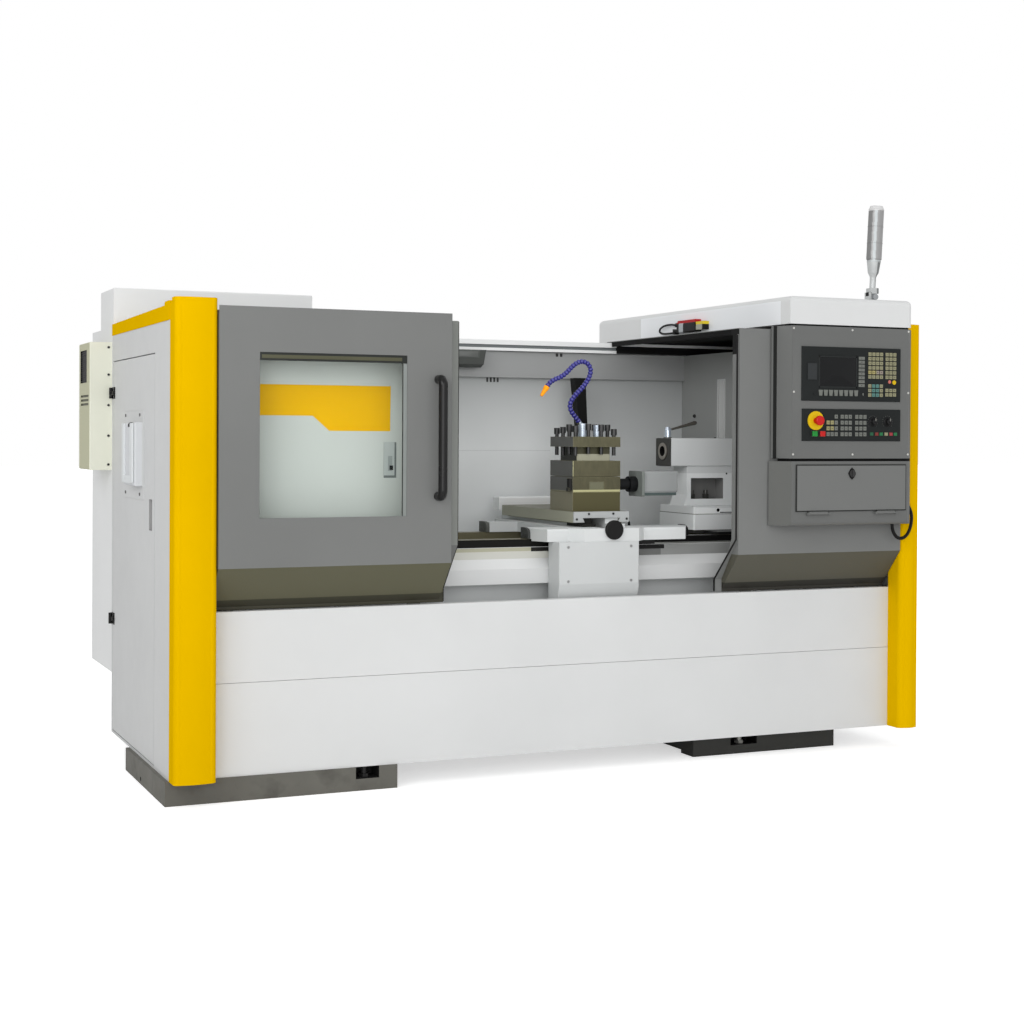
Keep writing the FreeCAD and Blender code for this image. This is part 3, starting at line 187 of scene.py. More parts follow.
SHEEN_REACH = 0.05       # how far the roughness drifts either way
SOIL_SHADE = 0.45        # colour of dust and oil, as a share of the finish's own
WORN_SHADE = 1.9         # colour of a rubbed edge, as a share of the finish's own
WORN_RADIUS = 0.003      # metres that the rubbing reaches round an edge
COAT_ROUGHNESS = 0.12


class NodePainter:
    """Builds a finish's shader nodes on Object coordinates."""

    def __init__(self, finish: Finish) -> None:
        """Start an empty material for a finish."""
        self.finish = finish
        self.material = bpy.data.materials.new(finish.name)
        self.material.use_nodes = True
        self.tree = self.material.node_tree
        self.shader = self.tree.nodes["Principled BSDF"]
        self.coordinates = self.node("ShaderNodeTexCoord").outputs["Object"]

    def node(self, kind: str, **settings: object) -> bpy.types.Node:
        """A new node with its properties set."""
        made = self.tree.nodes.new(kind)
        for key, value in settings.items():
            setattr(made, key, value)
        return made

    def link(self, source: bpy.types.NodeSocket, target: bpy.types.NodeSocket) -> None:
        """Join two sockets."""
        self.tree.links.new(source, target)

    def vector(self, operation: str, a: object, b: object = None) -> bpy.types.NodeSocket:
        """A vector operation on sockets or constants, and its result."""
        made = self.node("ShaderNodeVectorMath", operation=operation)
        for socket, value in zip(made.inputs, (a, b)):
            self.feed(socket, value)
        return made.outputs["Vector"]

    def number(self, operation: str, a: object, b: object = None) -> bpy.types.NodeSocket:
        """A scalar operation on sockets or constants, and its result."""
        made = self.node("ShaderNodeMath", operation=operation)
        for socket, value in zip(made.inputs, (a, b)):
            self.feed(socket, value)
        return made.outputs["Value"]

    def feed(self, socket: bpy.types.NodeSocket, value: object) -> None:
        """Link a socket to a socket, or set its constant."""
        if isinstance(value, bpy.types.NodeSocket):
            self.link(value, socket)
        elif value is not None:
            socket.default_value = value

    def noise(self, scale: float, detail: float = 3.0,
              stretch: Point = (1.0, 1.0, 1.0)) -> bpy.types.NodeSocket:
        """Noise per metre, drawn out along the axes whose stretch is small."""
        mapping = self.node("ShaderNodeMapping")
        mapping.inputs["Scale"].default_value = stretch
        self.link(self.coordinates, mapping.inputs["Vector"])
        made = self.node("ShaderNodeTexNoise")
        made.inputs["Scale"].default_value = scale
        made.inputs["Detail"].default_value = detail
        self.link(mapping.outputs["Vector"], made.inputs["Vector"])
        return made.outputs["Fac"]

    def spread(self, value: bpy.types.NodeSocket, low: float, high: float,
               start: float = 0.3, end: float = 0.7) -> bpy.types.NodeSocket:
        """A value between start and end, spread to low and high."""
        made = self.node("ShaderNodeMapRange")
        self.link(value, made.inputs["Value"])
        for name, number in zip(("From Min", "From Max", "To Min", "To Max"), (start, end, low, high)):
            made.inputs[name].default_value = number
        return made.outputs["Result"]

    def blend(self, share: object, a: object, b: object) -> bpy.types.NodeSocket:
        """A colour between a and b by a share."""
        made = self.node("ShaderNodeMix", data_type="RGBA")
        for socket, value in zip((made.inputs[0], made.inputs[6], made.inputs[7]), (share, a, b)):
            self.feed(socket, value)
        return made.outputs[2]

    def inside(self, zone: Zone) -> bpy.types.NodeSocket:
        """1 inside a zone's box and 0 outside, from the smallest distance to its six faces.

        A zone with a fade rises from 0 at its faces to 1 at that depth.
        """
        low, high = (tuple(place(corner).tolist()) for corner in (zone.low, zone.high))
        nearest = self.vector("MINIMUM", self.vector("SUBTRACT", self.coordinates, low),
                              self.vector("SUBTRACT", high, self.coordinates))
        split = self.node("ShaderNodeSeparateXYZ")
        self.link(nearest, split.inputs[0])
        smallest = self.number("MINIMUM", self.number("MINIMUM", split.outputs[0], split.outputs[1]),
                               split.outputs[2])
        if zone.fade:
            return self.spread(smallest, 0.0, 1.0, 0.0, zone.fade * MM)
        return self.number("GREATER_THAN", smallest, 0.0)

    def build(self) -> bpy.types.Material:
        """Colour, sheen and relief, with the zones mixed over them."""
        finish = self.finish
        base = np.asarray(finish.colour)
        dark, light = (np.clip(base * (1 + sign * finish.uneven), 0, 1) for sign in (-1, 1))
        wander = self.noise(*COLOUR_DRIFT)
        if finish.texture is Texture.GROUND:
            wander = self.noise(RELIEF[Texture.GROUND][0], 6.0, finish.lines)
        colour = self.blend(self.spread(wander, 0.0, 1.0), linear(tuple(dark)), linear(tuple(light)))
        if finish.soil:
            patches = self.spread(self.noise(*SOIL_PATCHES), 0.0, finish.soil, 0.52, 0.75)
            colour = self.blend(patches, colour, linear(tuple(base * SOIL_SHADE)))
        rough = self.spread(self.noise(*SHEEN_DRIFT), finish.roughness - SHEEN_REACH,
                            finish.roughness + SHEEN_REACH)
        metallic: object = finish.metallic
        for zone in finish.zones:
            mask = self.inside(zone)
            colour = self.blend(mask, colour, linear(zone.colour))
            rough = self.spread_by(mask, rough, zone.roughness)
            if zone.metallic != finish.metallic:
                metallic = self.spread_by(mask, metallic, zone.metallic)
        if finish.worn:
            bright = linear(tuple(np.clip(base * WORN_SHADE, 0, 1)))
            colour = self.blend(self.edge_share(finish.worn), colour, bright)
        self.feed(self.shader.inputs["Base Color"], colour)
        self.feed(self.shader.inputs["Roughness"], rough)
        self.feed(self.shader.inputs["Metallic"], metallic)
        self.shader.inputs["Specular IOR Level"].default_value = finish.shine
        self.shader.inputs["Coat Weight"].default_value = finish.coat
        self.shader.inputs["Coat Roughness"].default_value = COAT_ROUGHNESS
        self.shader.inputs["Alpha"].default_value = finish.alpha
        self.relief()
        return self.material

    def spread_by(self, mask: bpy.types.NodeSocket, a: object, b: float) -> bpy.types.NodeSocket:
        """A number between a and b by a mask."""
        made = self.node("ShaderNodeMix", data_type="FLOAT")
        for socket, value in zip(made.inputs[:1] + made.inputs[2:4], (mask, a, b)):
            self.feed(socket, value)
        return made.outputs[0]

    def softened_normal(self, radius: float) -> bpy.types.NodeSocket:
        """The surface direction with its edges rounded over."""
        made = self.node("ShaderNodeBevel", samples=2)
        made.inputs["Radius"].default_value = radius
        return made.outputs["Normal"]

    def edge_share(self, most: float) -> bpy.types.NodeSocket:
        """How near a point is to an edge: where the rounded direction leaves the plain one."""
        plain = self.node("ShaderNodeNewGeometry").outputs["Normal"]
        together = self.node("ShaderNodeVectorMath", operation="DOT_PRODUCT")
        self.link(self.softened_normal(WORN_RADIUS), together.inputs[0])
        self.link(plain, together.inputs[1])
        return self.spread(together.outputs["Value"], most, 0.0, 0.80, 0.995)

    def relief(self) -> None:
        """Rounded edges and the fine bump of the finish's texture."""
        soft = self.softened_normal(self.finish.edge) if self.finish.edge else None
        if self.finish.texture is Texture.SMOOTH:
            self.feed(self.shader.inputs["Normal"], soft)
            return
        scale, height, strength = RELIEF[self.finish.texture]
        grain = self.noise(scale, 2.0, self.finish.lines)
        bump = self.node("ShaderNodeBump")
        bump.inputs["Strength"].default_value = strength
        bump.inputs["Distance"].default_value = height
        self.link(grain, bump.inputs["Height"])
        self.feed(bump.inputs["Normal"], soft)
        self.link(bump.outputs["Normal"], self.shader.inputs["Normal"])


# Surfaces

@dataclass(frozen=True)
class Facing:
    """Which way a flat fitting looks: its own right, up and outward directions."""

    right: Point
    up: Point
    out: Point


FRONT = Facing((1, 0, 0), (0, 0, 1), (0, -1, 0))
LEFT = Facing((0, -1, 0), (0, 0, 1), (-1, 0, 0))
TOP = Facing((1, 0, 0), (0, 1, 0), (0, 0, 1))
REAR = Facing((-1, 0, 0), (0, 0, 1), (0, 1, 0))


SMALLEST = 0.02   # millimetres, the least width that an outline is drawn in to


def rounded_outline(width: np.ndarray, height: np.ndarray, corner: float, steps: int = 6) -> np.ndarray:
    """Rounded rectangles of several sizes, each run round anticlockwise.

    Each corner is a quarter circle: corner centre plus the radius times (cos t, sin t).

    Args:
        width: full widths, one for each rectangle.
        height: full heights, one for each rectangle.
        corner: corner radius, clipped to half the smaller side.
        steps: points to a corner.
    Returns:
        An array of shape (rectangles, 4 * steps, 2).
    """
    half = np.stack([width, height], -1) / 2.0
    radius = np.minimum(corner, half.min(-1))[:, None]
    quarter = np.linspace(0.0, math.pi / 2, steps)
    turn = (np.arange(4)[:, None] * math.pi / 2 + quarter[None, :]).ravel()
    signs = np.repeat(np.array([[1, 1], [-1, 1], [-1, -1], [1, -1]]), steps, axis=0)
    centres = signs[None] * (half[:, None, :] - radius[..., None])
    ring = np.stack([np.cos(turn), np.sin(turn)], -1)[None]
    return centres + radius[..., None] * ring


def plaques(centres: np.ndarray, sizes: np.ndarray, corner: float, profile: Sequence[tuple[float, float]],
            facing: Facing) -> tuple[np.ndarray, np.ndarray]:
    """Flat fittings of one section: plates, keys, screw heads and buttons.

    Every fitting is a rounded rectangle carried through the profile: at each step the outline is drawn
    in by the inset and lifted by the height, and the last step closes on its own centre.

    Args:
        centres: (n, 3) places in layout millimetres, on the surface that carries them.
        sizes: (n, 2) full width and height.
        corner: corner radius of the outline.
        profile: (inset, height) steps, from the foot outwards and then inwards.
        facing: the way they look.
    Returns:
        Vertices in layout millimetres and quad or triangle faces.
    """
    centres, sizes = np.atleast_2d(centres).astype(float), np.atleast_2d(sizes).astype(float)
    sizes = np.broadcast_to(sizes, (len(centres), 2))
    rings = []
    for inset, height in profile:
        width, tall = (np.maximum(sizes[:, i] - 2 * inset, SMALLEST) for i in (0, 1))
        outline = rounded_outline(width, tall, max(corner - inset, SMALLEST / 2))
        lifted = (centres[:, None, :] + outline[..., :1] * np.array(facing.right)
                  + outline[..., 1:] * np.array(facing.up) + height * np.array(facing.out))
        rings.append(lifted)
    count, steps = len(centres), rings[0].shape[1]
    grid = np.stack(rings, 1)
    foot = grid[:, :1].mean(2)
    crown = grid[:, -1:].mean(2)
    points = np.concatenate([grid.reshape(count, -1, 3), foot, crown], 1)
    rows = len(profile)
    step = np.arange(steps)
    after = (step + 1) % steps
    quads = [np.stack([low + step, low + after, low + steps + after, low + steps + step], -1)
             for low in range(0, (rows - 1) * steps, steps)]
    last = (rows - 1) * steps
    fans = [np.stack([after, step, np.full(steps, rows * steps), np.full(steps, -1)], -1),
            np.stack([last + step, last + after, np.full(steps, rows * steps + 1), np.full(steps, -1)], -1)]
    faces = np.concatenate(quads + fans)
    stride = rows * steps + 2
    shift = np.arange(count)[:, None, None] * stride
    all_faces = np.where(faces[None] < 0, -1, faces[None] + shift)
    return points.reshape(-1, 3), all_faces.reshape(-1, 4)


def extrusion(outline: np.ndarray, direction: Point) -> tuple[np.ndarray, np.ndarray]:
    """A closed outline of points carried straight along a direction, with both ends closed by fans.

    Args:
        outline: (n, 3) points, run round anticlockwise seen against the direction.
        direction: the way and length it is carried, in millimetres.
    Returns:
        Vertices and faces, as plaques() gives them.
    """
    outline = np.asarray(outline, float)
    n = len(outline)
    other = outline + np.array(direction)
    points = np.concatenate([outline, other, outline.mean(0)[None], other.mean(0)[None]])
    step = np.arange(n)
    after = (step + 1) % n
    sides = np.stack([step, after, n + after, n + step], -1)
    near = np.stack([after, step, np.full(n, 2 * n), np.full(n, -1)], -1)
    far = np.stack([n + step, n + after, np.full(n, 2 * n + 1), np.full(n, -1)], -1)
    return points, np.concatenate([sides, near, far])


def swept_tube(path: np.ndarray, radii: np.ndarray, sides: int = 20) -> tuple[np.ndarray, np.ndarray]:
    """A tube of changing radius along a path that turns mostly about one direction.

    Every ring is centre + radius * (cos t * side + sin t * lift), where side and lift are square to
    the path, worked out from one fixed direction that the path never follows.

    Args:
        path: (n, 3) points in metres.
        radii: n radii in metres.
        sides: points round the tube.
    Returns:
        Vertices in metres and faces, with both ends closed.
    """
    along = np.gradient(path, axis=0)
    along /= np.linalg.norm(along, axis=1)[:, None]
    fixed = np.array([0.0, 1.0, 0.0])
    side = np.cross(along, fixed)
    side /= np.linalg.norm(side, axis=1)[:, None]
    lift = np.cross(side, along)
    turn = np.linspace(0.0, 2 * math.pi, sides, endpoint=False)
    rings = (path[:, None] + radii[:, None, None]
             * (np.cos(turn)[None, :, None] * side[:, None] + np.sin(turn)[None, :, None] * lift[:, None]))
    n = len(path)
    points = np.concatenate([rings.reshape(-1, 3), path[:1], path[-1:]])
    ring, step = np.meshgrid(np.arange(n - 1), np.arange(sides), indexing="ij")
    after = (step + 1) % sides
    quads = np.stack([ring * sides + step, (ring + 1) * sides + step, (ring + 1) * sides + after,
                      ring * sides + after], -1).reshape(-1, 4)
    step = np.arange(sides)
    after = (step + 1) % sides
    start = np.stack([step, after, np.full(sides, n * sides), np.full(sides, -1)], -1)
    end = np.stack([(n - 1) * sides + after, (n - 1) * sides + step, np.full(sides, n * sides + 1),
                    np.full(sides, -1)], -1)
    return points, np.concatenate([quads, start, end])


def make_piece(name: str, points: np.ndarray, faces: np.ndarray, finish: Finish, body: str,
               smooth_degrees: float = 40.0) -> bpy.types.Object:
    """A mesh object from arrays, dressed and riding on a body.

    Args:
        name: the piece's name.
        points: vertices in metres, in the row frame.
        faces: (n, 4) indices, with -1 in the last column of a triangle.
        finish: its finish.
        body: the body it rides on.
        smooth_degrees: faces that meet at less than this are shaded as one.
    Returns:
        The object, at the origin.
    """
    mesh = bpy.data.meshes.new(name)
    corners = np.where(faces[:, 3] < 0, 3, 4)
    loops = faces.ravel()[faces.ravel() >= 0]
    mesh.vertices.add(len(points))
    mesh.vertices.foreach_set("co", np.asarray(points, np.float32).ravel())
    mesh.loops.add(len(loops))
    mesh.loops.foreach_set("vertex_index", loops.astype(np.int32))
    mesh.polygons.add(len(faces))
    mesh.polygons.foreach_set("loop_start", np.concatenate([[0], np.cumsum(corners)[:-1]]).astype(np.int32))
    mesh.update(calc_edges=True)
    mesh.validate()
    mesh.polygons.foreach_set("use_smooth", np.ones(len(mesh.polygons), bool))
    mesh.set_sharp_from_angle(angle=math.radians(smooth_degrees))
    made = bpy.data.objects.new(name, mesh)
    bpy.context.scene.collection.objects.link(made)
    mesh.materials.append(finish.material())
    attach(made, body)
    LOG.info("%s: %d faces on %s", name, len(faces), body)
    return made


def merged(parts: Sequence[tuple[np.ndarray, np.ndarray]]) -> tuple[np.ndarray, np.ndarray]:
    """Several pieces' arrays as one."""
    offsets = np.cumsum([0] + [len(points) for points, _ in parts[:-1]])
    faces = [np.where(f < 0, -1, f + o) for (_, f), o in zip(parts, offsets)]
    return np.concatenate([p for p, _ in parts]), np.concatenate(faces)


@dataclass
class Assembly:
    """A part of the machine: it dresses its nodes and adds its fittings."""

    nodes: dict[str, bpy.types.Object]

    def dress(self, node: str, finish: Finish) -> None:
        """Give a CAD node its finish."""
        slots = self.nodes[node].data.materials
        slots.clear()
        slots.append(finish.material())
        LOG.info("%s: %s", node, finish.name)

    def fit(self, name: str, parts: Sequence[tuple[np.ndarray, np.ndarray]], finish: Finish, body: str,
            smooth_degrees: float = 40.0) -> bpy.types.Object:
        """Add a fitting made of arrays in layout millimetres."""
        points, faces = merged(parts)
        return make_piece(name, place(points), faces, finish, body, smooth_degrees)

    def plates(self, name: str, centres: Sequence[Sequence[float]], sizes: Sequence[Sequence[float]],
               corner: float, profile: Sequence[tuple[float, float]], finish: Finish, body: str = "machine",
               facing: Facing = FRONT) -> None:
        """Add one piece of flat fittings that share a section."""
        self.fit(name, [plaques(centres, sizes, corner, profile, facing)], finish, body)

    def screws(self, name: str, centres: Sequence[Point], diameter: float, finish: Finish,
               body: str = "machine", facing: Facing = FRONT, height: float = 2.0) -> None:
        """Add one piece of round screw heads."""
        self.fit(name, [screw_heads(centres, diameter, height, facing)], finish, body)


SOCKET_SHARE = 0.45   # of a screw head's diameter


def screw_heads(centres: Sequence[Point], diameter: float, height: float,
                facing: Facing) -> tuple[np.ndarray, np.ndarray]:
    """Round screw heads with a socket in each.

    Args:
        centres: places in layout millimetres, on the surface.
        diameter: head diameter.
        height: head height.
        facing: the way they look.
    Returns:
        Vertices and faces.
    """
    inner = diameter * (1 - SOCKET_SHARE) / 2
    profile = ((0.0, -0.4), (0.0, height * 0.6), (height * 0.3, height), (inner, height),
               (inner + 0.2, height * 0.3), (diameter * 0.46, height * 0.25))
    return plaques(np.array(centres), np.array([[diameter, diameter]]), diameter / 2, profile, facing)


def bevelled(height: float, edge: float = 0.8) -> tuple[tuple[float, float], ...]:
    """A flat fitting's section: upright side and a rounded edge of that radius."""
    turn = np.linspace(0.0, math.pi / 2, 4)
    arc = [(edge * (1 - math.cos(t)), height - edge + edge * math.sin(t)) for t in turn]
    return ((0.0, -0.3), *[(float(a), float(b)) for a, b in arc])


# Housing

PANEL_WHITE = paint("panel_white", (0.86, 0.865, 0.865), edge=0.0)
SIDE_WHITE = paint("side_white", (0.80, 0.805, 0.805))
COLUMN_YELLOW = Finish("column_yellow", (0.885, 0.70, 0.0), 0.42, uneven=0.015, shine=0.0)
BLACK_PLASTIC = moulded("black_plastic", (0.10, 0.10, 0.10))
BLACK_RUBBER = Finish("black_rubber", (0.085, 0.085, 0.085), 0.6, texture=Texture.MOULDED, uneven=0.08)
SCREW_STEEL = Finish("screw_steel", (0.66, 0.66, 0.66), 0.35, 0.8, Texture.SMOOTH)
BLACK_SCREW = Finish("black_screw", (0.14, 0.14, 0.14), 0.4, 0.4, Texture.SMOOTH)
DARK_GREY = Finish("dark_grey", (0.13, 0.135, 0.13), 0.5, uneven=0.06)


@dataclass
class Housing(Assembly):
    """The fixed housing: panels, columns, plinths and the inner walls."""

    def build(self) -> None:
        """Dress the housing."""
        self.dress("front_panels", PANEL_WHITE)
        self.dress("base", PANEL_WHITE)
        self.dress("right_side_panel", SIDE_WHITE)
        self.dress("left_column", COLUMN_YELLOW)
        self.dress("right_column", Finish("right_yellow", (0.915, 0.725, 0.0), 0.42, uneven=0.015, shine=0.0))
        self.dress("headstock_guard", self.guard_white())
        self.dress("inner_walls", self.inner_white())
        self.plinths()
        self.beam_and_lamp()
        self.side_door()
        self.wall_fittings()

    def plinths(self) -> None:
        """Plinth paint, darker on the right, with levelling screws, and with the screw pockets, the left
        levelling screw in its pocket and a hole painted dark as the shade inside them.
        """
        right = Zone((2160, 85, -1), (2860, 735, 86.9), (0.235, 0.235, 0.225), 0.5)
        # painted shade: the pockets, the left screw in its pocket and the hole are dark for the shade inside
        # them
        pocket = Zone((687, -7.9, 43.5), (779, 80.5, 87.5), (0.11, 0.11, 0.11), 0.5)
        right_pocket = Zone((2343.5, 90.1, 35.5), (2470.5, 170.5, 87.5), (0.08, 0.08, 0.08), 0.5)
        screw = Zone((2385, 108, 36), (2429, 152, 87), (0.62, 0.62, 0.60), 0.35, 0.7)
        left_screw = Zone((711, 14, 44), (755, 58, 87), (0.20, 0.20, 0.20), 0.4, 0.5)
        hole = Zone((-14.9, 402, 11), (21, 420, 29), (0.06, 0.06, 0.06), 0.6)
        zones = (right, pocket, right_pocket, screw, left_screw, hole)
        self.dress("plinths", Finish("plinth_grey", (0.415, 0.41, 0.385), 0.55, texture=Texture.CAST,
                                     uneven=0.10, soil=0.5, zones=zones))

    def guard_white(self) -> Finish:
        """The headstock guard's paint, with its lock plate, a painted shadow round the plate, its slot, and
        the keyhole painted dark as shade.
        """
        slot = Zone((829.5, 54.9, 1174.5), (846.5, 56.2, 1230.5), (0.62, 0.66, 0.65), 0.4)
        # painted shade: the keyhole is dark for the shade inside it, and shade is a painted shadow round the
        # plate
        keyhole = Zone((836, 54.5, 1178), (850, 56.2, 1195), (0.10, 0.11, 0.11), 0.4)
        shade = Zone((813, 52, 1149), (863, 57.2, 1282), (0.46, 0.50, 0.49), 0.4)
        plate = Zone((814, 52, 1158), (855, 57.2, 1283), (0.74, 0.78, 0.765), 0.35)
        return Finish("guard_white", (0.80, 0.835, 0.81), 0.35, uneven=0.01,
                      zones=(shade, plate, slot, keyhole))

    def inner_white(self) -> Finish:
        """Rear wall and duct paint, with painted shade on the right wall, its folds and the duct.

        Painted shade: the rear wall dims softly to the right and to the top.
        """
        # painted shade on the right wall, its folds and the duct, and painted shade fading in to the right
        # and to the top
        right = Zone((2668, 59, 599), (2673, 1083, 1691), (0.60, 0.605, 0.60), 0.45)
        folds = Zone((2665, 690, 640), (2670.1, 760, 1571), (0.78, 0.785, 0.78), 0.4)
        duct = Zone((980, 1061, 1570.5), (2669, 1083, 1690), (0.63, 0.635, 0.635), 0.45)
        dim_right = Zone((1850, 300, 950), (3600, 2000, 2600), (0.85, 0.86, 0.86), 0.45, fade=380.0)
        dim_top = Zone((-900, 300, 1250), (3600, 2000, 2600), (0.66, 0.67, 0.67), 0.45, fade=320.0)
        return Finish("inner_white", (0.94, 0.95, 0.95), 0.45, uneven=0.015, edge=0.0,
                      zones=(dim_right, dim_top, duct, right, folds))

    def beam_and_lamp(self) -> None:
        """The beam's groove painted grey as shade and its right end painted black as shadow, and the lamp's
        body, lighter window and glass.
        """
        # painted shade in the groove, and a painted shadow on the beam's right end under the roof
        groove = Zone((150, 1040.2, 1702.6), (3061, 1047, 1717.4), (0.46, 0.48, 0.485), 0.4)
        shadow = Zone((2296, 1038, 1689), (3061, 1047, 1725), (0.10, 0.10, 0.10), 0.6)
        self.dress("rear_beam", paint("beam_white", (0.95, 0.955, 0.955), zones=(groove, shadow)))
        window = Zone((1339, 983, 1653), (1588, 1041, 1687.9), (0.36, 0.37, 0.36), 0.25)
        self.dress("work_lamp", Finish("lamp_grey", (0.29, 0.30, 0.29), 0.4, zones=(window,)))
        self.plates("lamp_glass", [[1462.0, 984.6, 1668.0]], [[236.0, 24.0]], 4, bevelled(1.2, 0.5),
                    Finish("lamp_glass", (0.38, 0.39, 0.38), 0.15, texture=Texture.SMOOTH, coat=0.5))

    def side_door(self) -> None:
        """Service door: black hinges, hood with its rims, the hood's slot and the pull recess painted dark as
        shade, cover plate's screws.
        """
        black = (0.085, 0.085, 0.085)
        hinges = tuple(Zone((-17, 1022, z - 24), (0.1, 1090, z + 24), black, 0.45) for z in (554, 1474))
        hood = Zone((-39, 440, 1111), (-6.6, 660, 1353), (0.82, 0.83, 0.84), 0.42)
        # painted shade: the hood's slot and the pull recess are darkened for the shade inside them
        hood_slot = Zone((-37.8, 499.5, 1333.5), (-15.5, 560.5, 1352.5), (0.30, 0.30, 0.30), 0.5)
        recess = Zone((0.1, 293.9, 951.9), (18.2, 349.1, 1067.1), (0.64, 0.64, 0.64), 0.5)
        screws = tuple(Zone((-6.4, y - 7, z - 7), (-3.05, y + 7, z + 7), (0.42, 0.42, 0.42), 0.35, 0.6)
                       for y in (504, 778) for z in (1080, 1380))
        self.dress("side_door", paint("side_door_white", SIDE_WHITE.colour,
                                      zones=(*hinges, hood, hood_slot, recess, *screws)))
        self.dress("left_side_panel", paint("side_panel_white", SIDE_WHITE.colour, zones=hinges))
        rims = [plaques([[-38.0, y, 1236.0]], [[width, 226.0]], 5.0, bevelled(6.0, 2.5), LEFT)
                for y, width in ((475.0, 46.0), (632.0, 40.0))]
        rims.append(plaques([[-38.0, 555.0, 1136.0]], [[150.0, 30.0]], 5.0, bevelled(5.0, 2.5), LEFT))
        self.fit("pull_rims", rims, paint("pull_white", (0.85, 0.865, 0.87), 0.01), "side_door")

    def wall_fittings(self) -> None:
        """Black pieces that paint the shade in four slots under the duct, two vents at its top, the wall's
        seam and the knob on the right wall.
        """
        # painted shade: black pieces stand for the shade in four slots under the duct
        clips = [[x, 1082.0, 1560.0] for x in (1665, 1682, 1699, 1716)]
        self.plates("duct_slot_shades", clips, [[7.0, 20.0]], 1.5, bevelled(5.0), BLACK_PLASTIC)
        vents = [[x, 1062.0, 1678.0] for x in (2002, 2023)]
        self.plates("duct_vents", vents, [[12.0, 15.0]], 2.0, bevelled(2.0), BLACK_PLASTIC)
        self.plates("wall_seam", [[1500.0, 1083.0, 1243.5]], [[960.0, 4.0]], 0.5, bevelled(0.8, 0.3),
                    Finish("seam_grey", (0.45, 0.46, 0.46), 0.5))
        self.screws("wall_knob", [(2670, 962, 1405)], 16.0, BLACK_PLASTIC, facing=LEFT, height=9.0)


@dataclass
class RearEquipment(Assembly):
    """Electrical cabinet, cooling unit, canopy and door switch."""

    def build(self) -> None:
        """Dress the rear equipment."""
        white = paint("cabinet_white", (0.91, 0.915, 0.915))
        self.dress("electrical_cabinet", white)
        self.dress("cabinet_door", white)
        self.cooling_unit()
        self.canopy()
        self.door_switch()

    def cooling_unit(self) -> None:
        """Cooling unit with its left side painted darker as shade, a dark grille window and slats, grey
        louvres and edge screws.
        """
        dark = (0.09, 0.095, 0.09)
        # painted shade: the left side is darker and more olive for the shade on it
        left = Zone((-91.5, 1094, 1160), (-89.9, 1330, 1690), (0.74, 0.74, 0.62), 0.45)
        window = Zone((-90.8, 1159.5, 1517.5), (-84.5, 1312.5, 1652.5), dark, 0.5)
        louvres = Zone((-90.8, 1117.5, 1423.5), (-85.5, 1300.5, 1467.5), (0.42, 0.42, 0.36), 0.5)
        screws = Zone((-20, 1091.5, 1170), (-8, 1094.9, 1675), (0.25, 0.25, 0.25), 0.4, 0.5)
        self.dress("cooling_unit", Finish("cream", (0.89, 0.895, 0.835), 0.45, uneven=0.015,
                                          zones=(left, window, louvres, screws)))
        slats = [[-85.0, 1236.0, z] for z in np.arange(1526.0, 1650.0, 9.0)]
        self.plates("grille_slats", slats, [[148.0, 3.2]], 1.0, bevelled(3.0, 0.6), DARK_GREY, facing=LEFT)

    def canopy(self) -> None:
        """Canopy with its left side painted paler as light, and a black strip over the console's housing that
        paints the shadow in the gap there.
        """
        # painted light on the left side; painted shadow on the strip over the console
        left = Zone((2440, -100, 1764), (2450.5, 1090, 1875), (0.96, 0.97, 0.98), 0.4)
        shadow = Zone((2469, -169, 1756), (3031, -99.5, 1763.9), (0.05, 0.05, 0.05), 0.6)
        self.dress("canopy", Finish("canopy_white", (0.88, 0.885, 0.885), 0.4, uneven=0.01,
                                    zones=(left, shadow)))

    def door_switch(self) -> None:
        """Door switch: red lid, grey body with a black front, yellow end block, black gland and cable."""
        lid = Zone((2414, 482, 1811.5), (2451, 704, 1825), (0.70, 0.09, 0.10), 0.35)
        tip = Zone((2419, 465, 1799), (2451, 528, 1811.9), (0.90, 0.80, 0.20), 0.35)
        lower_tip = Zone((2419, 475, 1775), (2451, 528, 1799), (0.66, 0.66, 0.60), 0.4)
        body = Zone((2414, 634, 1769), (2451, 671.9, 1811.9), (0.70, 0.72, 0.73), 0.4)
        self.dress("door_switch", moulded("switch_black", (0.08, 0.08, 0.08),
                                          zones=(body, lower_tip, tip, lid)))


# Sliding doors

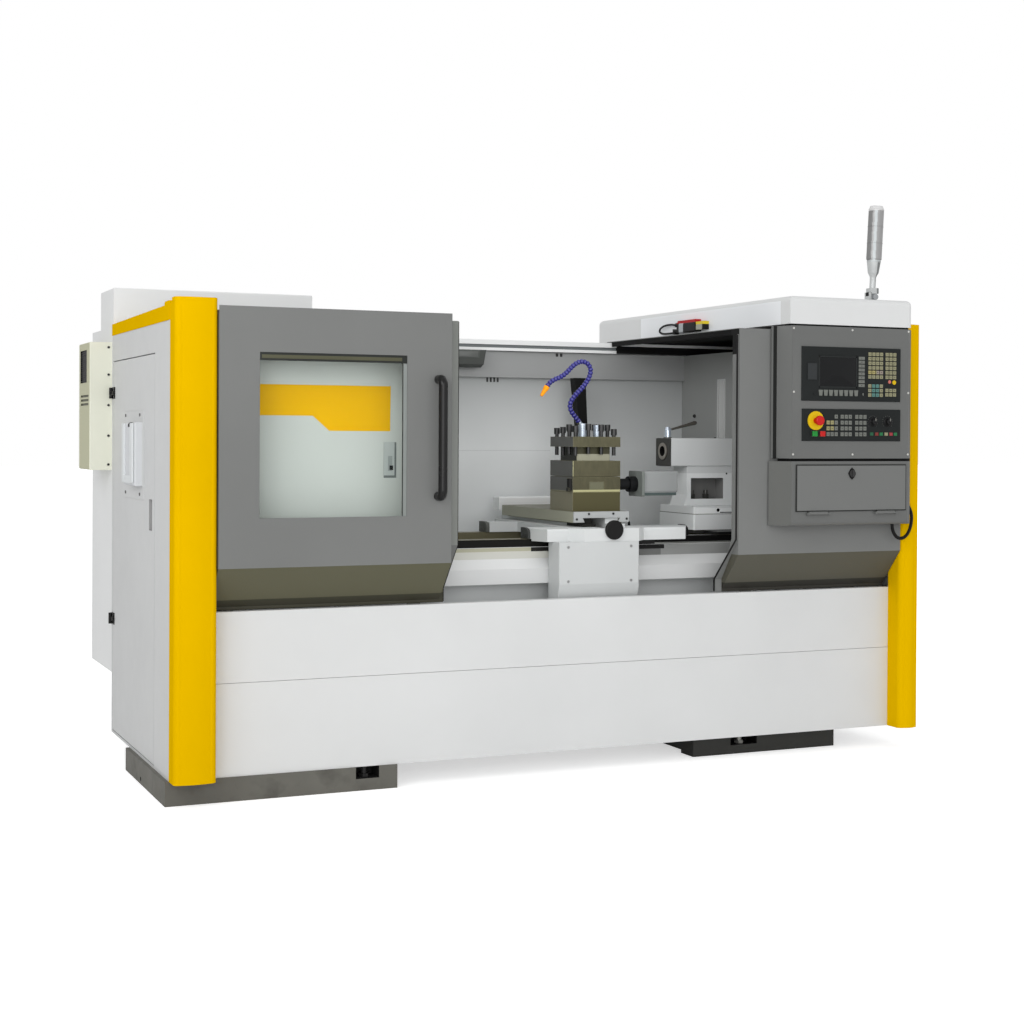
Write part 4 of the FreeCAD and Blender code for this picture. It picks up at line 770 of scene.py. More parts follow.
@dataclass
class SlidingDoors(Assembly):
    """Two sliding doors, with the left one's window and handle."""

    stripe: tuple[tuple[float, float], ...] = (
        (336, 1491), (840, 1491), (838, 1323), (601, 1323), (537, 1378), (336, 1378),
    )

    def build(self) -> None:
        """Dress the doors and add their seals, window frame and stripe."""
        # painted shade: the lower slant and the foot are darker and olive for the shade under the crease
        olive = Zone((150, -86, 678), (1047, 41, 835.9), (0.385, 0.38, 0.305), 0.5)
        foot = Zone((150, 10, 678), (1047, 41, 716), (0.26, 0.255, 0.21), 0.5)
        strip = Zone((1047.5, -36, 898), (1076.5, -25, 1738), (0.53, 0.54, 0.525), 0.45)
        self.dress("left_door", paint("left_door_grey", (0.47, 0.475, 0.47), 0.02, (olive, foot, strip)))
        # painted shade: the lower slant and the foot are darker and olive for the shade under the crease
        olive = Zone((2264, -86, 678), (3060, 41, 835.9), (0.36, 0.355, 0.315), 0.5)
        foot = Zone((2264, 10, 678), (3060, 41, 716), (0.23, 0.225, 0.205), 0.5)
        # painted shade: the roof's underside is near black
        roof = Zone((2260, -82, 1719), (3060, 1081, 1742.1), (0.02, 0.02, 0.02), 0.7)
        shade = Zone((2215, -82.3, 1641), (2267.3, -20, 1743), (0.06, 0.06, 0.06), 0.6)
        rim = Zone((2263.5, -60, 1714), (2266.5, 1081, 1724), (0.42, 0.42, 0.42), 0.5)
        self.dress("right_door", paint("right_door_grey", (0.485, 0.49, 0.485), 0.02,
                                       (olive, foot, roof, rim, shade)))
        self.dress("left_handle", Finish("handle_black", (0.085, 0.085, 0.085), 0.32, texture=Texture.MOULDED,
                                         coat=0.25))
        self.dress("left_window", Finish("pane", (0.70, 0.74, 0.72), 0.05, texture=Texture.SMOOTH,
                                         alpha=0.012, shine=0.0, edge=0.0))
        self.window_frame()
        self.band_seals()
        self.guard_stripe()

    def window_frame(self) -> None:
        """Head with its rail and right upright with its bead, which hold the pane in the opening; their dark,
        olive and grey colours are painted shade.
        """
        # painted shade: these colours stand for the shade under the opening's top and along its right edge
        olive = Finish("rail_olive", (0.32, 0.32, 0.25), 0.5, uneven=0.08)
        black = Finish("rail_black", (0.17, 0.18, 0.17), 0.5, uneven=0.05)
        grey = Finish("rail_grey", (0.53, 0.55, 0.54), 0.45, uneven=0.05)
        pane = -82.7
        rows = (
            ("window_head", (576.5, pane, 1585.5), (553.0, 29.0), bevelled(1.2, 0.6), black),
            ("window_head_rail", (570.0, pane - 1.2, 1585.0), (526.0, 13.0), bevelled(1.0, 0.5), olive),
            ("window_upright", (845.5, pane, 1291.0), (15.0, 558.0), bevelled(1.2, 0.6), grey),
            ("window_bead", (836.5, pane, 1291.0), (3.6, 558.0), bevelled(1.6, 0.6), black),
        )
        for name, centre, size, profile, finish in rows:
            self.plates(name, [centre], [size], 1.0, profile, finish, "left_door")

    def band_seals(self) -> None:
        """Rubber edge seals that follow the doors' inner bands down to the sill."""
        rows = (("right", 2258, -83, 1718, 3.6), ("left", 1076, -34, 1734, 1.6))
        for side, x, y, top, radius in rows:
            bend = ((x, y, top), (x, y, 1300), (x, y, 898), (x - 29, 37, 731), (x - 29, 37, 682))
            points, faces = swept_tube(place(bend), np.full(len(bend), radius * MM), 12)
            make_piece(f"{side}_seal", points, faces, BLACK_RUBBER, f"{side}_door")

    def guard_stripe(self) -> None:
        """Yellow stripe on the guard behind the window."""
        outline = [(x, 56.9, z) for x, z in self.stripe]
        finish = Finish("stripe_yellow", (0.965, 0.75, 0.0), 0.4, uneven=0.01, shine=0.0)
        self.fit("guard_stripe", [extrusion(np.array(outline)[::-1], (0, -0.5, 0))], finish, "machine")


# Working area

BRIGHT_STEEL = Finish("bright_steel", (0.66, 0.66, 0.65), 0.28, 1.0, Texture.GROUND, 0.06, (1.0, 10.0, 10.0))
BLACK_STEEL = Finish("black_steel", (0.085, 0.085, 0.085), 0.4, 0.3, Texture.SMOOTH, 0.08)
CAST_WHITE = cast_paint("cast_white", (0.86, 0.87, 0.87))


@dataclass
class BedAndHeadstock(Assembly):
    """Bed with its ground ways, headstock, spindle and chuck."""

    def build(self) -> None:
        """Dress the bed and headstock."""
        olive = (0.47, 0.45, 0.36)
        ways = Zone((90, 180, 868.5), (2660, 745, 901), olive, 0.35, 0.5)
        # painted shade on the way tops at the right
        shaded_way_top = Zone((2150, 185.6, 899), (2660, 745, 901), (0.15, 0.15, 0.145), 0.3, 0.4)
        black_face = Zone((90, 184, 869.1), (1585, 185.5, 899.5), (0.10, 0.10, 0.09), 0.45)
        grey_face = Zone((2000, 184, 869.1), (2660, 185.5, 899.5), (0.57, 0.575, 0.56), 0.4)
        right_black = Zone((1900, 183, 875), (2660, 185.5, 899.8), (0.09, 0.09, 0.09), 0.45)
        # painted shade in the valley between the ways
        valley = Zone((90, 260, 599), (2660, 672, 899), (0.72, 0.73, 0.72), 0.45)
        self.dress("bed", cast_paint("bed_paint", (0.84, 0.85, 0.85), 0.02,
                                     (valley, ways, shaded_way_top, black_face, grey_face, right_black)))
        # the first four zones are painted shade: the upright face darker under the ways, and darker again
        # right of the apron
        upright = (
            Zone((90, 179, 853), (1900, 184, 867.5), (0.70, 0.695, 0.61), 0.4),
            Zone((90, 179, 824), (1900, 184, 853), (0.81, 0.81, 0.78), 0.4),
            Zone((1900, 179, 824), (2660, 184, 867.5), (0.60, 0.605, 0.60), 0.4),
            Zone((1900, 179, 824), (2060, 184, 850), (0.46, 0.465, 0.46), 0.4),
            Zone((1475, 179, 851), (1556, 184, 867.5), (0.12, 0.12, 0.11), 0.5),
            Zone((1900, 179, 850), (2076, 184, 867.5), (0.09, 0.09, 0.09), 0.5),
        )
        self.dress("screw_cover", paint("cover_white", (0.86, 0.865, 0.865), zones=upright))
        self.dress("headstock", CAST_WHITE)
        for node in ("spindle", "chuck_body", "z_screw", "x_screw"):
            self.dress(node, BRIGHT_STEEL)
        for node in ("jaw_1", "jaw_2", "jaw_3"):
            self.dress(node, BLACK_STEEL)


@dataclass
class Carriage(Assembly):
    """Saddle, apron, wipers, cable post and the cross slide with its rear cover."""

    def build(self) -> None:
        """Dress the carriage."""
        wing = Zone((1470, 99, 890), (1508.5, 184, 941), (0.75, 0.76, 0.755), 0.45)
        under = Zone((1688, 148, 944.4), (1762, 300, 981), (0.12, 0.12, 0.11), 0.5)
        self.dress("saddle", cast_paint("saddle_white", (0.83, 0.84, 0.84), zones=(wing, under)))
        self.dress("apron", cast_paint("apron_white", (0.79, 0.80, 0.80)))
        grey = Zone((1455, 180, 900), (1475, 260, 946), (0.25, 0.255, 0.25), 0.5)
        rear = Zone((1470, 655, 900), (1502, 750, 950), (0.38, 0.385, 0.37), 0.5)
        self.dress("saddle_wipers", moulded("wiper_black", (0.085, 0.085, 0.085), 0.55, (grey, rear)))
        self.dress("cable_post", moulded("post_black", (0.055, 0.055, 0.055), 0.6))
        plate = Zone((1650, 168, 961.9), (1920, 180.2, 1010), (0.69, 0.70, 0.70), 0.42, 0.0)
        under = Zone((1685, 168, 950), (1752, 300, 961), (0.10, 0.10, 0.09), 0.5)
        screws = tuple(Zone((x - 6, 168, z - 6), (x + 6, 171.95, z + 6), (0.20, 0.20, 0.20), 0.4, 0.4)
                       for x, z in ((1672, 975), (1726, 996), (1836, 996), (1897, 975)))
        # painted light: the slide's left end is lighter for the light on it
        left = Zone((1658, 180.3, 955), (1660.5, 895, 1006), (0.61, 0.61, 0.545), 0.4)
        self.dress("cross_slide", Finish("slide_steel", (0.46, 0.445, 0.37), 0.38, 0.5, Texture.GROUND, 0.10,
                                         (8.0, 0.12, 8.0), soil=0.35, zones=(left, plate, under, *screws)))
        lower = Zone((1640, 890, 983), (1970, 965, 1015), (0.93, 0.935, 0.935), 0.42)
        self.dress("slide_rear_cover", Finish("rear_cover_white", (0.95, 0.955, 0.955), 0.4, uneven=0.01,
                                              zones=(lower,)))
        places = [(1575, 45, 873), (1852, 45, 873), (1575, 45, 739), (1852, 45, 737)]
        self.screws("apron_screws", places, 11.0, SCREW_STEEL, "carriage")


@dataclass
class ToolPost(Assembly):
    """Tool post with its turret, drive motor and bolts."""

    def build(self) -> None:
        """Dress the tool post."""
        # painted light: the left faces have their own lighter tone for the light on them
        left = (0.36, 0.36, 0.35)
        base_zones = (
            # painted light: the base's left face is lighter below and takes the left tone above
            Zone((1669, 204, 1004), (1670.6, 420, 1088), (0.49, 0.475, 0.40), 0.42, 0.1),
            Zone((1669, 204, 1088), (1670.6, 420, 1145), left, 0.42, 0.3),
            Zone((1671, 204, 1004), (1885, 205.5, 1082), (0.335, 0.32, 0.22), 0.42, 0.3),
            Zone((1671, 204, 1082), (1885, 208, 1092), (0.72, 0.71, 0.54), 0.35, 0.3),
            Zone((1745, 205.2, 1092), (1811, 209, 1124), (0.44, 0.44, 0.36), 0.4, 0.4),
            Zone((1650, 205, 1084.2), (1669.9, 240, 1142), (0.07, 0.07, 0.07), 0.5, 0.0),
            Zone((1745, 290, 1306.2), (1850, 335, 1375), (0.74, 0.78, 0.83), 0.25, 0.7),
        )
        self.dress("tool_post_base", self.tool_steel("base_steel", base_zones))
        turret_zones = (
            Zone((1669, 204, 1145), (1670.6, 420, 1307), left, 0.42, 0.3),
            # painted light on the neck's lower half, painted shade on its upper half and on its left edge
            Zone((1701, 236, 1209.2), (1853, 388, 1236), (0.62, 0.615, 0.54), 0.35, 0.3),
            Zone((1701, 236, 1236), (1853, 388, 1264.8), (0.27, 0.265, 0.20), 0.4, 0.3),
            Zone((1701.5, 236.9, 1209.2), (1702.6, 388, 1264.8), (0.20, 0.20, 0.185), 0.4, 0.3),
        )
        self.dress("turret_block", self.tool_steel("turret_steel", turret_zones))
        self.dress("tool_bolts", BLACK_STEEL)
        motor_zones = (
            Zone((1880, 200, 1050), (1982.9, 330, 1180), (0.075, 0.08, 0.085), 0.35, 0.2),
            Zone((1982.9, 199, 1061), (1995.1, 319, 1167), (0.46, 0.48, 0.465), 0.4),
            Zone((1995.2, 213, 1065), (2151, 321, 1077.9), (0.31, 0.355, 0.35), 0.4, 0.1),
        )
        self.dress("index_motor", Finish("motor_grey", (0.59, 0.60, 0.60), 0.4, texture=Texture.CAST,
                                         zones=motor_zones))
        self.chamfer()

    @staticmethod
    def tool_steel(name: str, zones: tuple[Zone, ...]) -> Finish:
        """Oiled ground tool steel."""
        return Finish(name, (0.34, 0.33, 0.255), 0.40, 0.4, Texture.GROUND, 0.06, (3.0, 3.0, 1.0), soil=0.3,
                      zones=zones, worn=0.5)

    def chamfer(self) -> None:
        """The bright ground chamfer down the turret's front left corner."""
        outline = np.array([(1669.7, 205.2, 1146), (1672.4, 204.7, 1146), (1672.4, 206.0, 1146),
                            (1669.7, 208.0, 1146)])
        self.fit("turret_chamfer", [extrusion(outline, (0, 0, 62))],
                 Finish("chamfer_steel", (0.72, 0.71, 0.55), 0.3, 0.5, Texture.SMOOTH), "turret")


@dataclass
class Tailstock(Assembly):
    """Tailstock, quill, quill clamp and base."""

    def build(self) -> None:
        """Dress the tailstock."""
        dark = (0.13, 0.13, 0.13)
        base_zones = (
            Zone((2280, 300, 899), (2610, 620, 913.9), (0.19, 0.19, 0.18), 0.5),
            Zone((2330, 185, 899), (2600, 308.9, 913), (0.13, 0.13, 0.13), 0.4, 0.4),
            Zone((2286, 304.9, 979.6), (2602, 610, 982.1), (0.40, 0.40, 0.38), 0.5),
        )
        self.dress("tail_base", cast_paint("tail_base_white", (0.91, 0.92, 0.92), 0.02, base_zones))
        body_zones = (
            # painted shade: the head is darker; painted light: the flange is brighter
            Zone((2226.1, 380, 1152), (2700, 540, 1310), (0.84, 0.85, 0.85), 0.42),
            Zone((2300, 250, 982), (2620, 640, 1006), (0.99, 1.0, 1.0), 0.42),
            Zone((2220, 390, 1180), (2226.05, 524, 1304), (0.25, 0.25, 0.24), 0.4, 0.3),
            Zone((2326.5, 400.3, 1041.5), (2487.5, 470.5, 1131.5), (0.50, 0.50, 0.495), 0.5),
            Zone((2336, 419, 1042.1), (2437, 451, 1079), (0.36, 0.36, 0.35), 0.35, 0.7),
            Zone((2415.5, 307.1, 984.8), (2600, 316.3, 989.2), dark, 0.5),
            Zone((2399, 307.1, 989.2), (2415, 330.5, 1005), (0.06, 0.06, 0.06), 0.5),
            Zone((2225, 438, 1302.2), (2264, 476, 1306.1), (0.35, 0.34, 0.32), 0.4, 0.5),
        )
        self.dress("tail_body", cast_paint("tail_white", (0.92, 0.93, 0.93), 0.02, body_zones))
        # painted shade: the quill's bore is dark for the shade inside it
        socket = Zone((2217.2, 433.5, 1222.5), (2345, 480.5, 1269.5), (0.06, 0.06, 0.06), 0.5)
        self.dress("quill", Finish("quill_steel", (0.58, 0.56, 0.53), 0.32, 0.8, Texture.GROUND, 0.05,
                                   (10.0, 1.0, 1.0), zones=(socket,)))
        lever = Zone((2259.5, 440, 1320), (2400, 475, 1390), (0.32, 0.31, 0.29), 0.4, 0.2)
        self.dress("quill_clamp", Finish("clamp_chrome", (0.80, 0.84, 0.89), 0.2, 0.6, Texture.SMOOTH, 0.0,
                                         zones=(lever,)))
        self.screws("oil_cap", [(2479, 457, 1302)], 10.0, BLACK_SCREW, "tailstock", TOP, 4.0)
        self.screws("head_screw", [(2503, 400, 1150)], 8.0, BLACK_SCREW, "tailstock")


# Cords

@dataclass
class Coolant(Assembly):
    """Jointed coolant hose with its nozzle."""

    diameter: float = 0.0195
    length: float = 0.505
    pitch: float = 0.014
    # painted shade: the core's dark colour shows in the necks between the joints
    core: float = 0.43           # radius of the dark core as a share of the diameter
    core_inset: int = 6          # millimetres that the core stays short of either end
    route: tuple[Point, ...] = (
        (1748, 312, 1366), (1733, 312, 1385), (1714, 312, 1405), (1705, 312, 1430), (1713, 312, 1456),
        (1733, 312, 1479), (1757, 312, 1501), (1779, 312, 1526), (1796, 312, 1553), (1802, 312, 1583),
        (1787, 312, 1609), (1757, 312, 1616), (1729, 312, 1604), (1706, 312, 1583), (1684, 312, 1561),
        (1658, 312, 1546), (1632, 312, 1537), (1613, 312, 1524), (1603, 312, 1509),
    )

    def build(self) -> None:
        """Make the hose and dress its nozzle."""
        blue = Finish("hose_blue", (0.17, 0.165, 0.47), 0.25, texture=Texture.SMOOTH, uneven=0.10, coat=0.35,
                      shine=0.45)
        self.dress("coolant_nozzle", moulded("nozzle_orange", (0.97, 0.60, 0.03), 0.4))
        line = spline_line(self.route, 1.0)
        reach = np.concatenate([[0.0], np.cumsum(np.linalg.norm(np.diff(line, axis=0), axis=1))])
        LOG.info("hose line: %.4f m", reach[-1])
        joints = round(reach[-1] / self.pitch)
        share = (reach / reach[-1] * joints) % 1.0
        radii = self.diameter / 2 * joint_swell(share)
        hose = make_piece("coolant_hose_line", *swept_tube(line, radii), blue, "cross_slide", 25.0)
        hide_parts("coolant_hose")
        # painted shade: the darker core shows in the necks between the joints
        dark = Finish("hose_neck", (0.09, 0.075, 0.32), 0.4, texture=Texture.SMOOTH)
        core = line[self.core_inset:-self.core_inset]
        points, faces = swept_tube(core, np.full(len(core), self.core * self.diameter), 16)
        make_piece("coolant_hose_necks", points, faces, dark, "cross_slide")


def joint_swell(share: np.ndarray) -> np.ndarray:
    """Radius of a jointed hose along one joint, as a share of the full radius.

    Each joint is a ball: 0.62 plus 0.48 times a flattened arch, sin(pi t) to the power 0.7.

    Args:
        share: place along the joint, 0 to 1.
    Returns:
        The radius there, from 0.62 in the neck to 1.10 at the ball's middle.
    """
    return 0.62 + 0.48 * np.sin(math.pi * share) ** 0.7


def spline_line(route: Sequence[Point], spacing_mm: float) -> np.ndarray:
    """Points read from the smooth spline that has a cord's route as its control points.

    Args:
        route: the route's own points, in layout millimetres.
        spacing_mm: the distance between the points that come back.
    Returns:
        Evenly spaced points in metres, from the exit to the far end.
    """
    curve = bpy.data.curves.new("route", "CURVE")
    curve.dimensions = "3D"
    spline = curve.splines.new("NURBS")
    spline.points.add(len(route) - 1)
    for point, place_m in zip(spline.points, place(route)):
        point.co = (*place_m, 1.0)
    spline.order_u = 3
    spline.use_endpoint_u = True
    spline.resolution_u = 24
    holder = bpy.data.objects.new("route", curve)
    bpy.context.scene.collection.objects.link(holder)
    mesh = bpy.data.meshes.new_from_object(holder.evaluated_get(bpy.context.evaluated_depsgraph_get()))
    line = np.array([v.co for v in mesh.vertices], float)
    bpy.data.objects.remove(holder)
    bpy.data.curves.remove(curve)
    bpy.data.meshes.remove(mesh)
    line = line[np.concatenate([[True], np.linalg.norm(np.diff(line, axis=0), axis=1) > 1e-7])]
    reach = np.concatenate([[0.0], np.cumsum(np.linalg.norm(np.diff(line, axis=0), axis=1))])
    even = np.linspace(0.0, reach[-1], max(2, round(reach[-1] / MM / spacing_mm)))
    return np.stack([np.interp(even, reach, line[:, i]) for i in range(3)], -1)


# Console

KEY_CREAM = (0.58, 0.57, 0.46)
KEY_GREY = (0.46, 0.47, 0.45)
KEY_TEAL = (0.36, 0.52, 0.50)
KEY_YELLOW = (0.86, 0.72, 0.12)
KEY_PINK = (0.80, 0.46, 0.42)
KEY_GREEN = (0.20, 0.46, 0.30)
KEY_RED = (0.62, 0.26, 0.28)


KEY_TOP = -182.0       # beyond the highest key
KEY_FOOT = -176.03     # just above the panels' face

PRINT = ((0, -0.1), (0, 0.12), (0.1, 0.16))   # section of a printed mark
TICK = ((0, -0.2), (0, 0.15), (0.1, 0.2))     # section of a scale's tick


def key_zones(*fields: tuple[float, float, float, float, Colour]) -> tuple[Zone, ...]:
    """The keys inside rectangles of a panel.

    Args:
        fields: left, right, bottom, top and colour of each rectangle.
    Returns:
        A zone for each, from just above the panel's face outwards.
    """
    return tuple(Zone((left, KEY_TOP, bottom), (right, KEY_FOOT, top), colour, 0.45)
                 for left, right, bottom, top, colour in fields)


@dataclass
class Console(Assembly):
    """Console with its panels, keys, buttons, flap and conduit."""

    face: float = -178.0         # the keys' tops
    conduit_diameter: float = 0.014
    conduit_length: float = 0.252
    conduit_route: tuple[Point, ...] = (
        (2981, -131, 952), (2981, -131, 935), (2990, -131, 911), (3010, -130, 891), (3038, -129, 889),
        (3061, -128, 905), (3075, -127, 929), (3083, -126, 957), (3087, -122, 985), (3088, -111, 1008),
        (3088, -97, 1023),
    )

    def build(self) -> None:
        """Dress the console and add its fittings."""
        self.housing()
        self.panels()
        self.buttons()
        self.key_marks()
        self.conduit()

    def housing(self) -> None:
        """Console paint with painted shade in the black gap between its boxes and on the dark strip at its
        back edge, its left faces painted darker below and lighter above, the flap and its latch, and the
        housing screws.
        """
        black = (0.05, 0.05, 0.05)
        # painted shade: black in the gap and on the strip; the left faces darker below and lighter above
        gap = Zone((2400, -171, 1211.9), (3056, -91, 1223.1), black, 0.6)
        strip = Zone((2419, -97, 1222), (2435.9, -91, 1758), (0.13, 0.135, 0.13), 0.6)
        left = Zone((2400, -171, 951), (2461, -91, 1211.8), (0.405, 0.41, 0.40), 0.42)
        upper_left = Zone((2430, -169.8, 1223.2), (2460.6, -91, 1760), (0.46, 0.465, 0.46), 0.42)
        self.dress("console_body", paint("console_grey", (0.43, 0.435, 0.43), 0.02,
                                         (left, upper_left, gap, strip)))
        face = Zone((2484.5, -177, 1013.5), (3013.5, -175.4, 1194.5), (0.465, 0.47, 0.465), 0.42)
        tabs = Zone((2470, -190, 985), (3030, -171, 1008.9), (0.45, 0.455, 0.45), 0.42)
        shield = Zone((2728, -179, 1136), (2766, -176.02, 1188), (0.09, 0.09, 0.09), 0.4)
        self.dress("console_flap", paint("flap_grey", (0.16, 0.165, 0.16), 0.02, (face, tabs, shield)))
        self.dress("flap_latch", BLACK_PLASTIC)
        places = ((2467, 1746), (2749, 1746), (3028, 1748), (2469, 1491),
                  (3028, 1494), (2467, 1240), (2753, 1240), (3028, 1240))
        self.screws("console_screws", [(x, -170, z) for x, z in places], 9.0,
                    Finish("white_screw", (0.86, 0.86, 0.84), 0.35, 0.2, Texture.SMOOTH))

    def panels(self) -> None:
        """Both panels in dark film with their keys' colours, and the screen."""
        operator = key_zones(
            (2810, 3000, 1470, 1662, KEY_CREAM),
            (2770, 2806, 1500, 1645, KEY_GREY),
            (2575, 2800, 1470, 1503, KEY_GREY),
            (2820, 2862, 1568, 1585, (0.66, 0.62, 0.42)),
            (2864, 2905, 1568, 1585, (0.60, 0.56, 0.52)),
            (2941, 2963, 1526, 1546, KEY_YELLOW),
            (2841, 2880, 1474, 1528, KEY_TEAL),
            (2921, 2938, 1530, 1546, KEY_PINK),
        )
        dark_square = Zone((2528, -181, 1540), (2573, KEY_FOOT, 1608), (0.225, 0.235, 0.24), 0.4)
        self.dress("operator_panel", self.film("operator_film", (*operator, dark_square)))
        machine = key_zones(
            (2610, 2825, 1310, 1405, KEY_GREY),
            (2610, 2656, 1336, 1380, (0.62, 0.60, 0.44)),
            (2832, 2850, 1314, 1333, (0.20, 0.38, 0.28)),
            (2857, 2876, 1314, 1333, (0.50, 0.24, 0.22)),
            (2880, 2898, 1314, 1333, KEY_GREEN),
            (2904, 2924, 1314, 1333, KEY_CREAM),
            (2928, 2948, 1314, 1333, KEY_RED),
            (2950, 2970, 1314, 1333, KEY_GREEN),
        )
        yellow_plate = Zone((2529, -181, 1336), (2609, KEY_FOOT, 1416), (0.90, 0.76, 0.10), 0.4)
        grey_plate = Zone((2546, -181, 1308), (2615, KEY_FOOT, 1336), (0.30, 0.30, 0.30), 0.3, 0.6)
        self.dress("machine_panel", self.film("machine_film", (*machine, yellow_plate, grey_plate)))
        self.screen()

    def screen(self) -> None:
        """The screen's glass and the four bars of its frame."""
        x, y, z = 2677, -173.0, 1574
        self.plates("screen_glass", [[x, y, z]], [[186, 130]], 3, bevelled(0.8, 0.4),
                    Finish("screen_glass", (0.075, 0.08, 0.085), 0.12, texture=Texture.SMOOTH, coat=0.1))
        bars = (
            ((x, y, 1511.8), (186, 7)), ((x, y, 1636.2), (186, 7)),
            ((2586.8, y, z), (7, 130)), ((2767.2, y, z), (7, 130)),
        )
        self.plates("screen_frame", [centre for centre, _ in bars], [size for _, size in bars], 1,
                    bevelled(2.2, 0.8), moulded("screen_frame", (0.15, 0.16, 0.16), 0.4))

    @staticmethod
    def film(name: str, zones: tuple[Zone, ...]) -> Finish:
        """Dark printed panel film."""
        return Finish(name, (0.15, 0.16, 0.16), 0.5, texture=Texture.MOULDED, zones=zones, shine=0.1)

    def buttons(self) -> None:
        """Emergency stop, start and stop buttons and the override knobs with their grey pointers."""
        red, green = (0.78, 0.07, 0.05), (0.08, 0.55, 0.20)
        rows = (("e_stop", "stop_red", red), ("start_button", "start_green", green),
                ("stop_button", "button_red", red))
        for node, name, colour in rows:
            self.dress(node, Finish(name, colour, 0.3, texture=Texture.SMOOTH, coat=0.4))
        for node, x in (("feed_knob", 2848), ("speed_knob", 2920)):
            pointer = Zone((x - 2.1, -198.5, 1376), (x + 2.1, -195, 1388), (0.50, 0.50, 0.48), 0.4)
            self.dress(node, moulded(f"{node}_black", (0.11, 0.11, 0.115), 0.4, (pointer,)))
        self.dial_marks()

    def dial_marks(self) -> None:
        """Scale ticks round both override knobs: small squares on a circle about each knob."""
        white = Finish("print_white", (0.42, 0.42, 0.40), 0.5, texture=Texture.SMOOTH)
        ticks, radius, panel, middle = 13, 25, -176.0, 1373
        turn = np.radians(np.linspace(-130, 130, ticks))
        for name, x in (("feed_scale", 2848.0), ("speed_scale", 2920.0)):
            across, height = x + radius * np.sin(turn), middle + radius * np.cos(turn)
            places = np.stack([across, np.full(ticks, panel), height], -1)
            self.plates(name, places, [[2.2, 2.2]], 0.6, TICK, white)

    def key_marks(self) -> None:
        """A printed mark on each key: every third is a thin bar, the others are short and thick."""
        left, right = 2831 + 19.0 * np.arange(4), 2916 + 19.0 * np.arange(3)
        fields = (   # columns and rows of each group of keys
            ((*left, *right), 1650 - 18.6 * np.arange(6)),
            (left, (1520, 1501.5, 1483)),
            (right, (1503, 1485)),
            ((2790.5,), 1632 - 15.86 * np.arange(8)),
            ((2668, 2697, 2716.5, 2736, 2768, 2788, 2808), (1393, 1369, 1345.5, 1322)),
            ((2629, 2648.5), (1369, 1345.5, 1322)),
        )
        places = np.array([(x, self.face, z) for columns, rows in fields for x in columns for z in rows])
        sizes = np.where(np.arange(len(places))[:, None] % 3 == 0, [[7.0, 1.2]], [[4.0, 3.0]])
        self.plates("key_marks", places, sizes, 0.5, PRINT,
                    Finish("print_dark", (0.20, 0.20, 0.19), 0.5, texture=Texture.SMOOTH))

    def conduit(self) -> None:
        """Ribbed conduit from the console's floor to the right column."""
        spacing, rib_pitch = 0.8, 4.0
        line = spline_line(self.conduit_route, spacing)
        reach = np.arange(len(line)) * spacing
        LOG.info("conduit line: %.4f m", float(np.linalg.norm(np.diff(line, axis=0), axis=1).sum()))
        radii = self.conduit_diameter / 2 * (0.96 + 0.06 * np.cos(reach * 2 * math.pi / rib_pitch))
        cord = make_piece("console_conduit_line", *swept_tube(line, radii, 16), BLACK_RUBBER, "machine", 60.0)
        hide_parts("console_conduit")


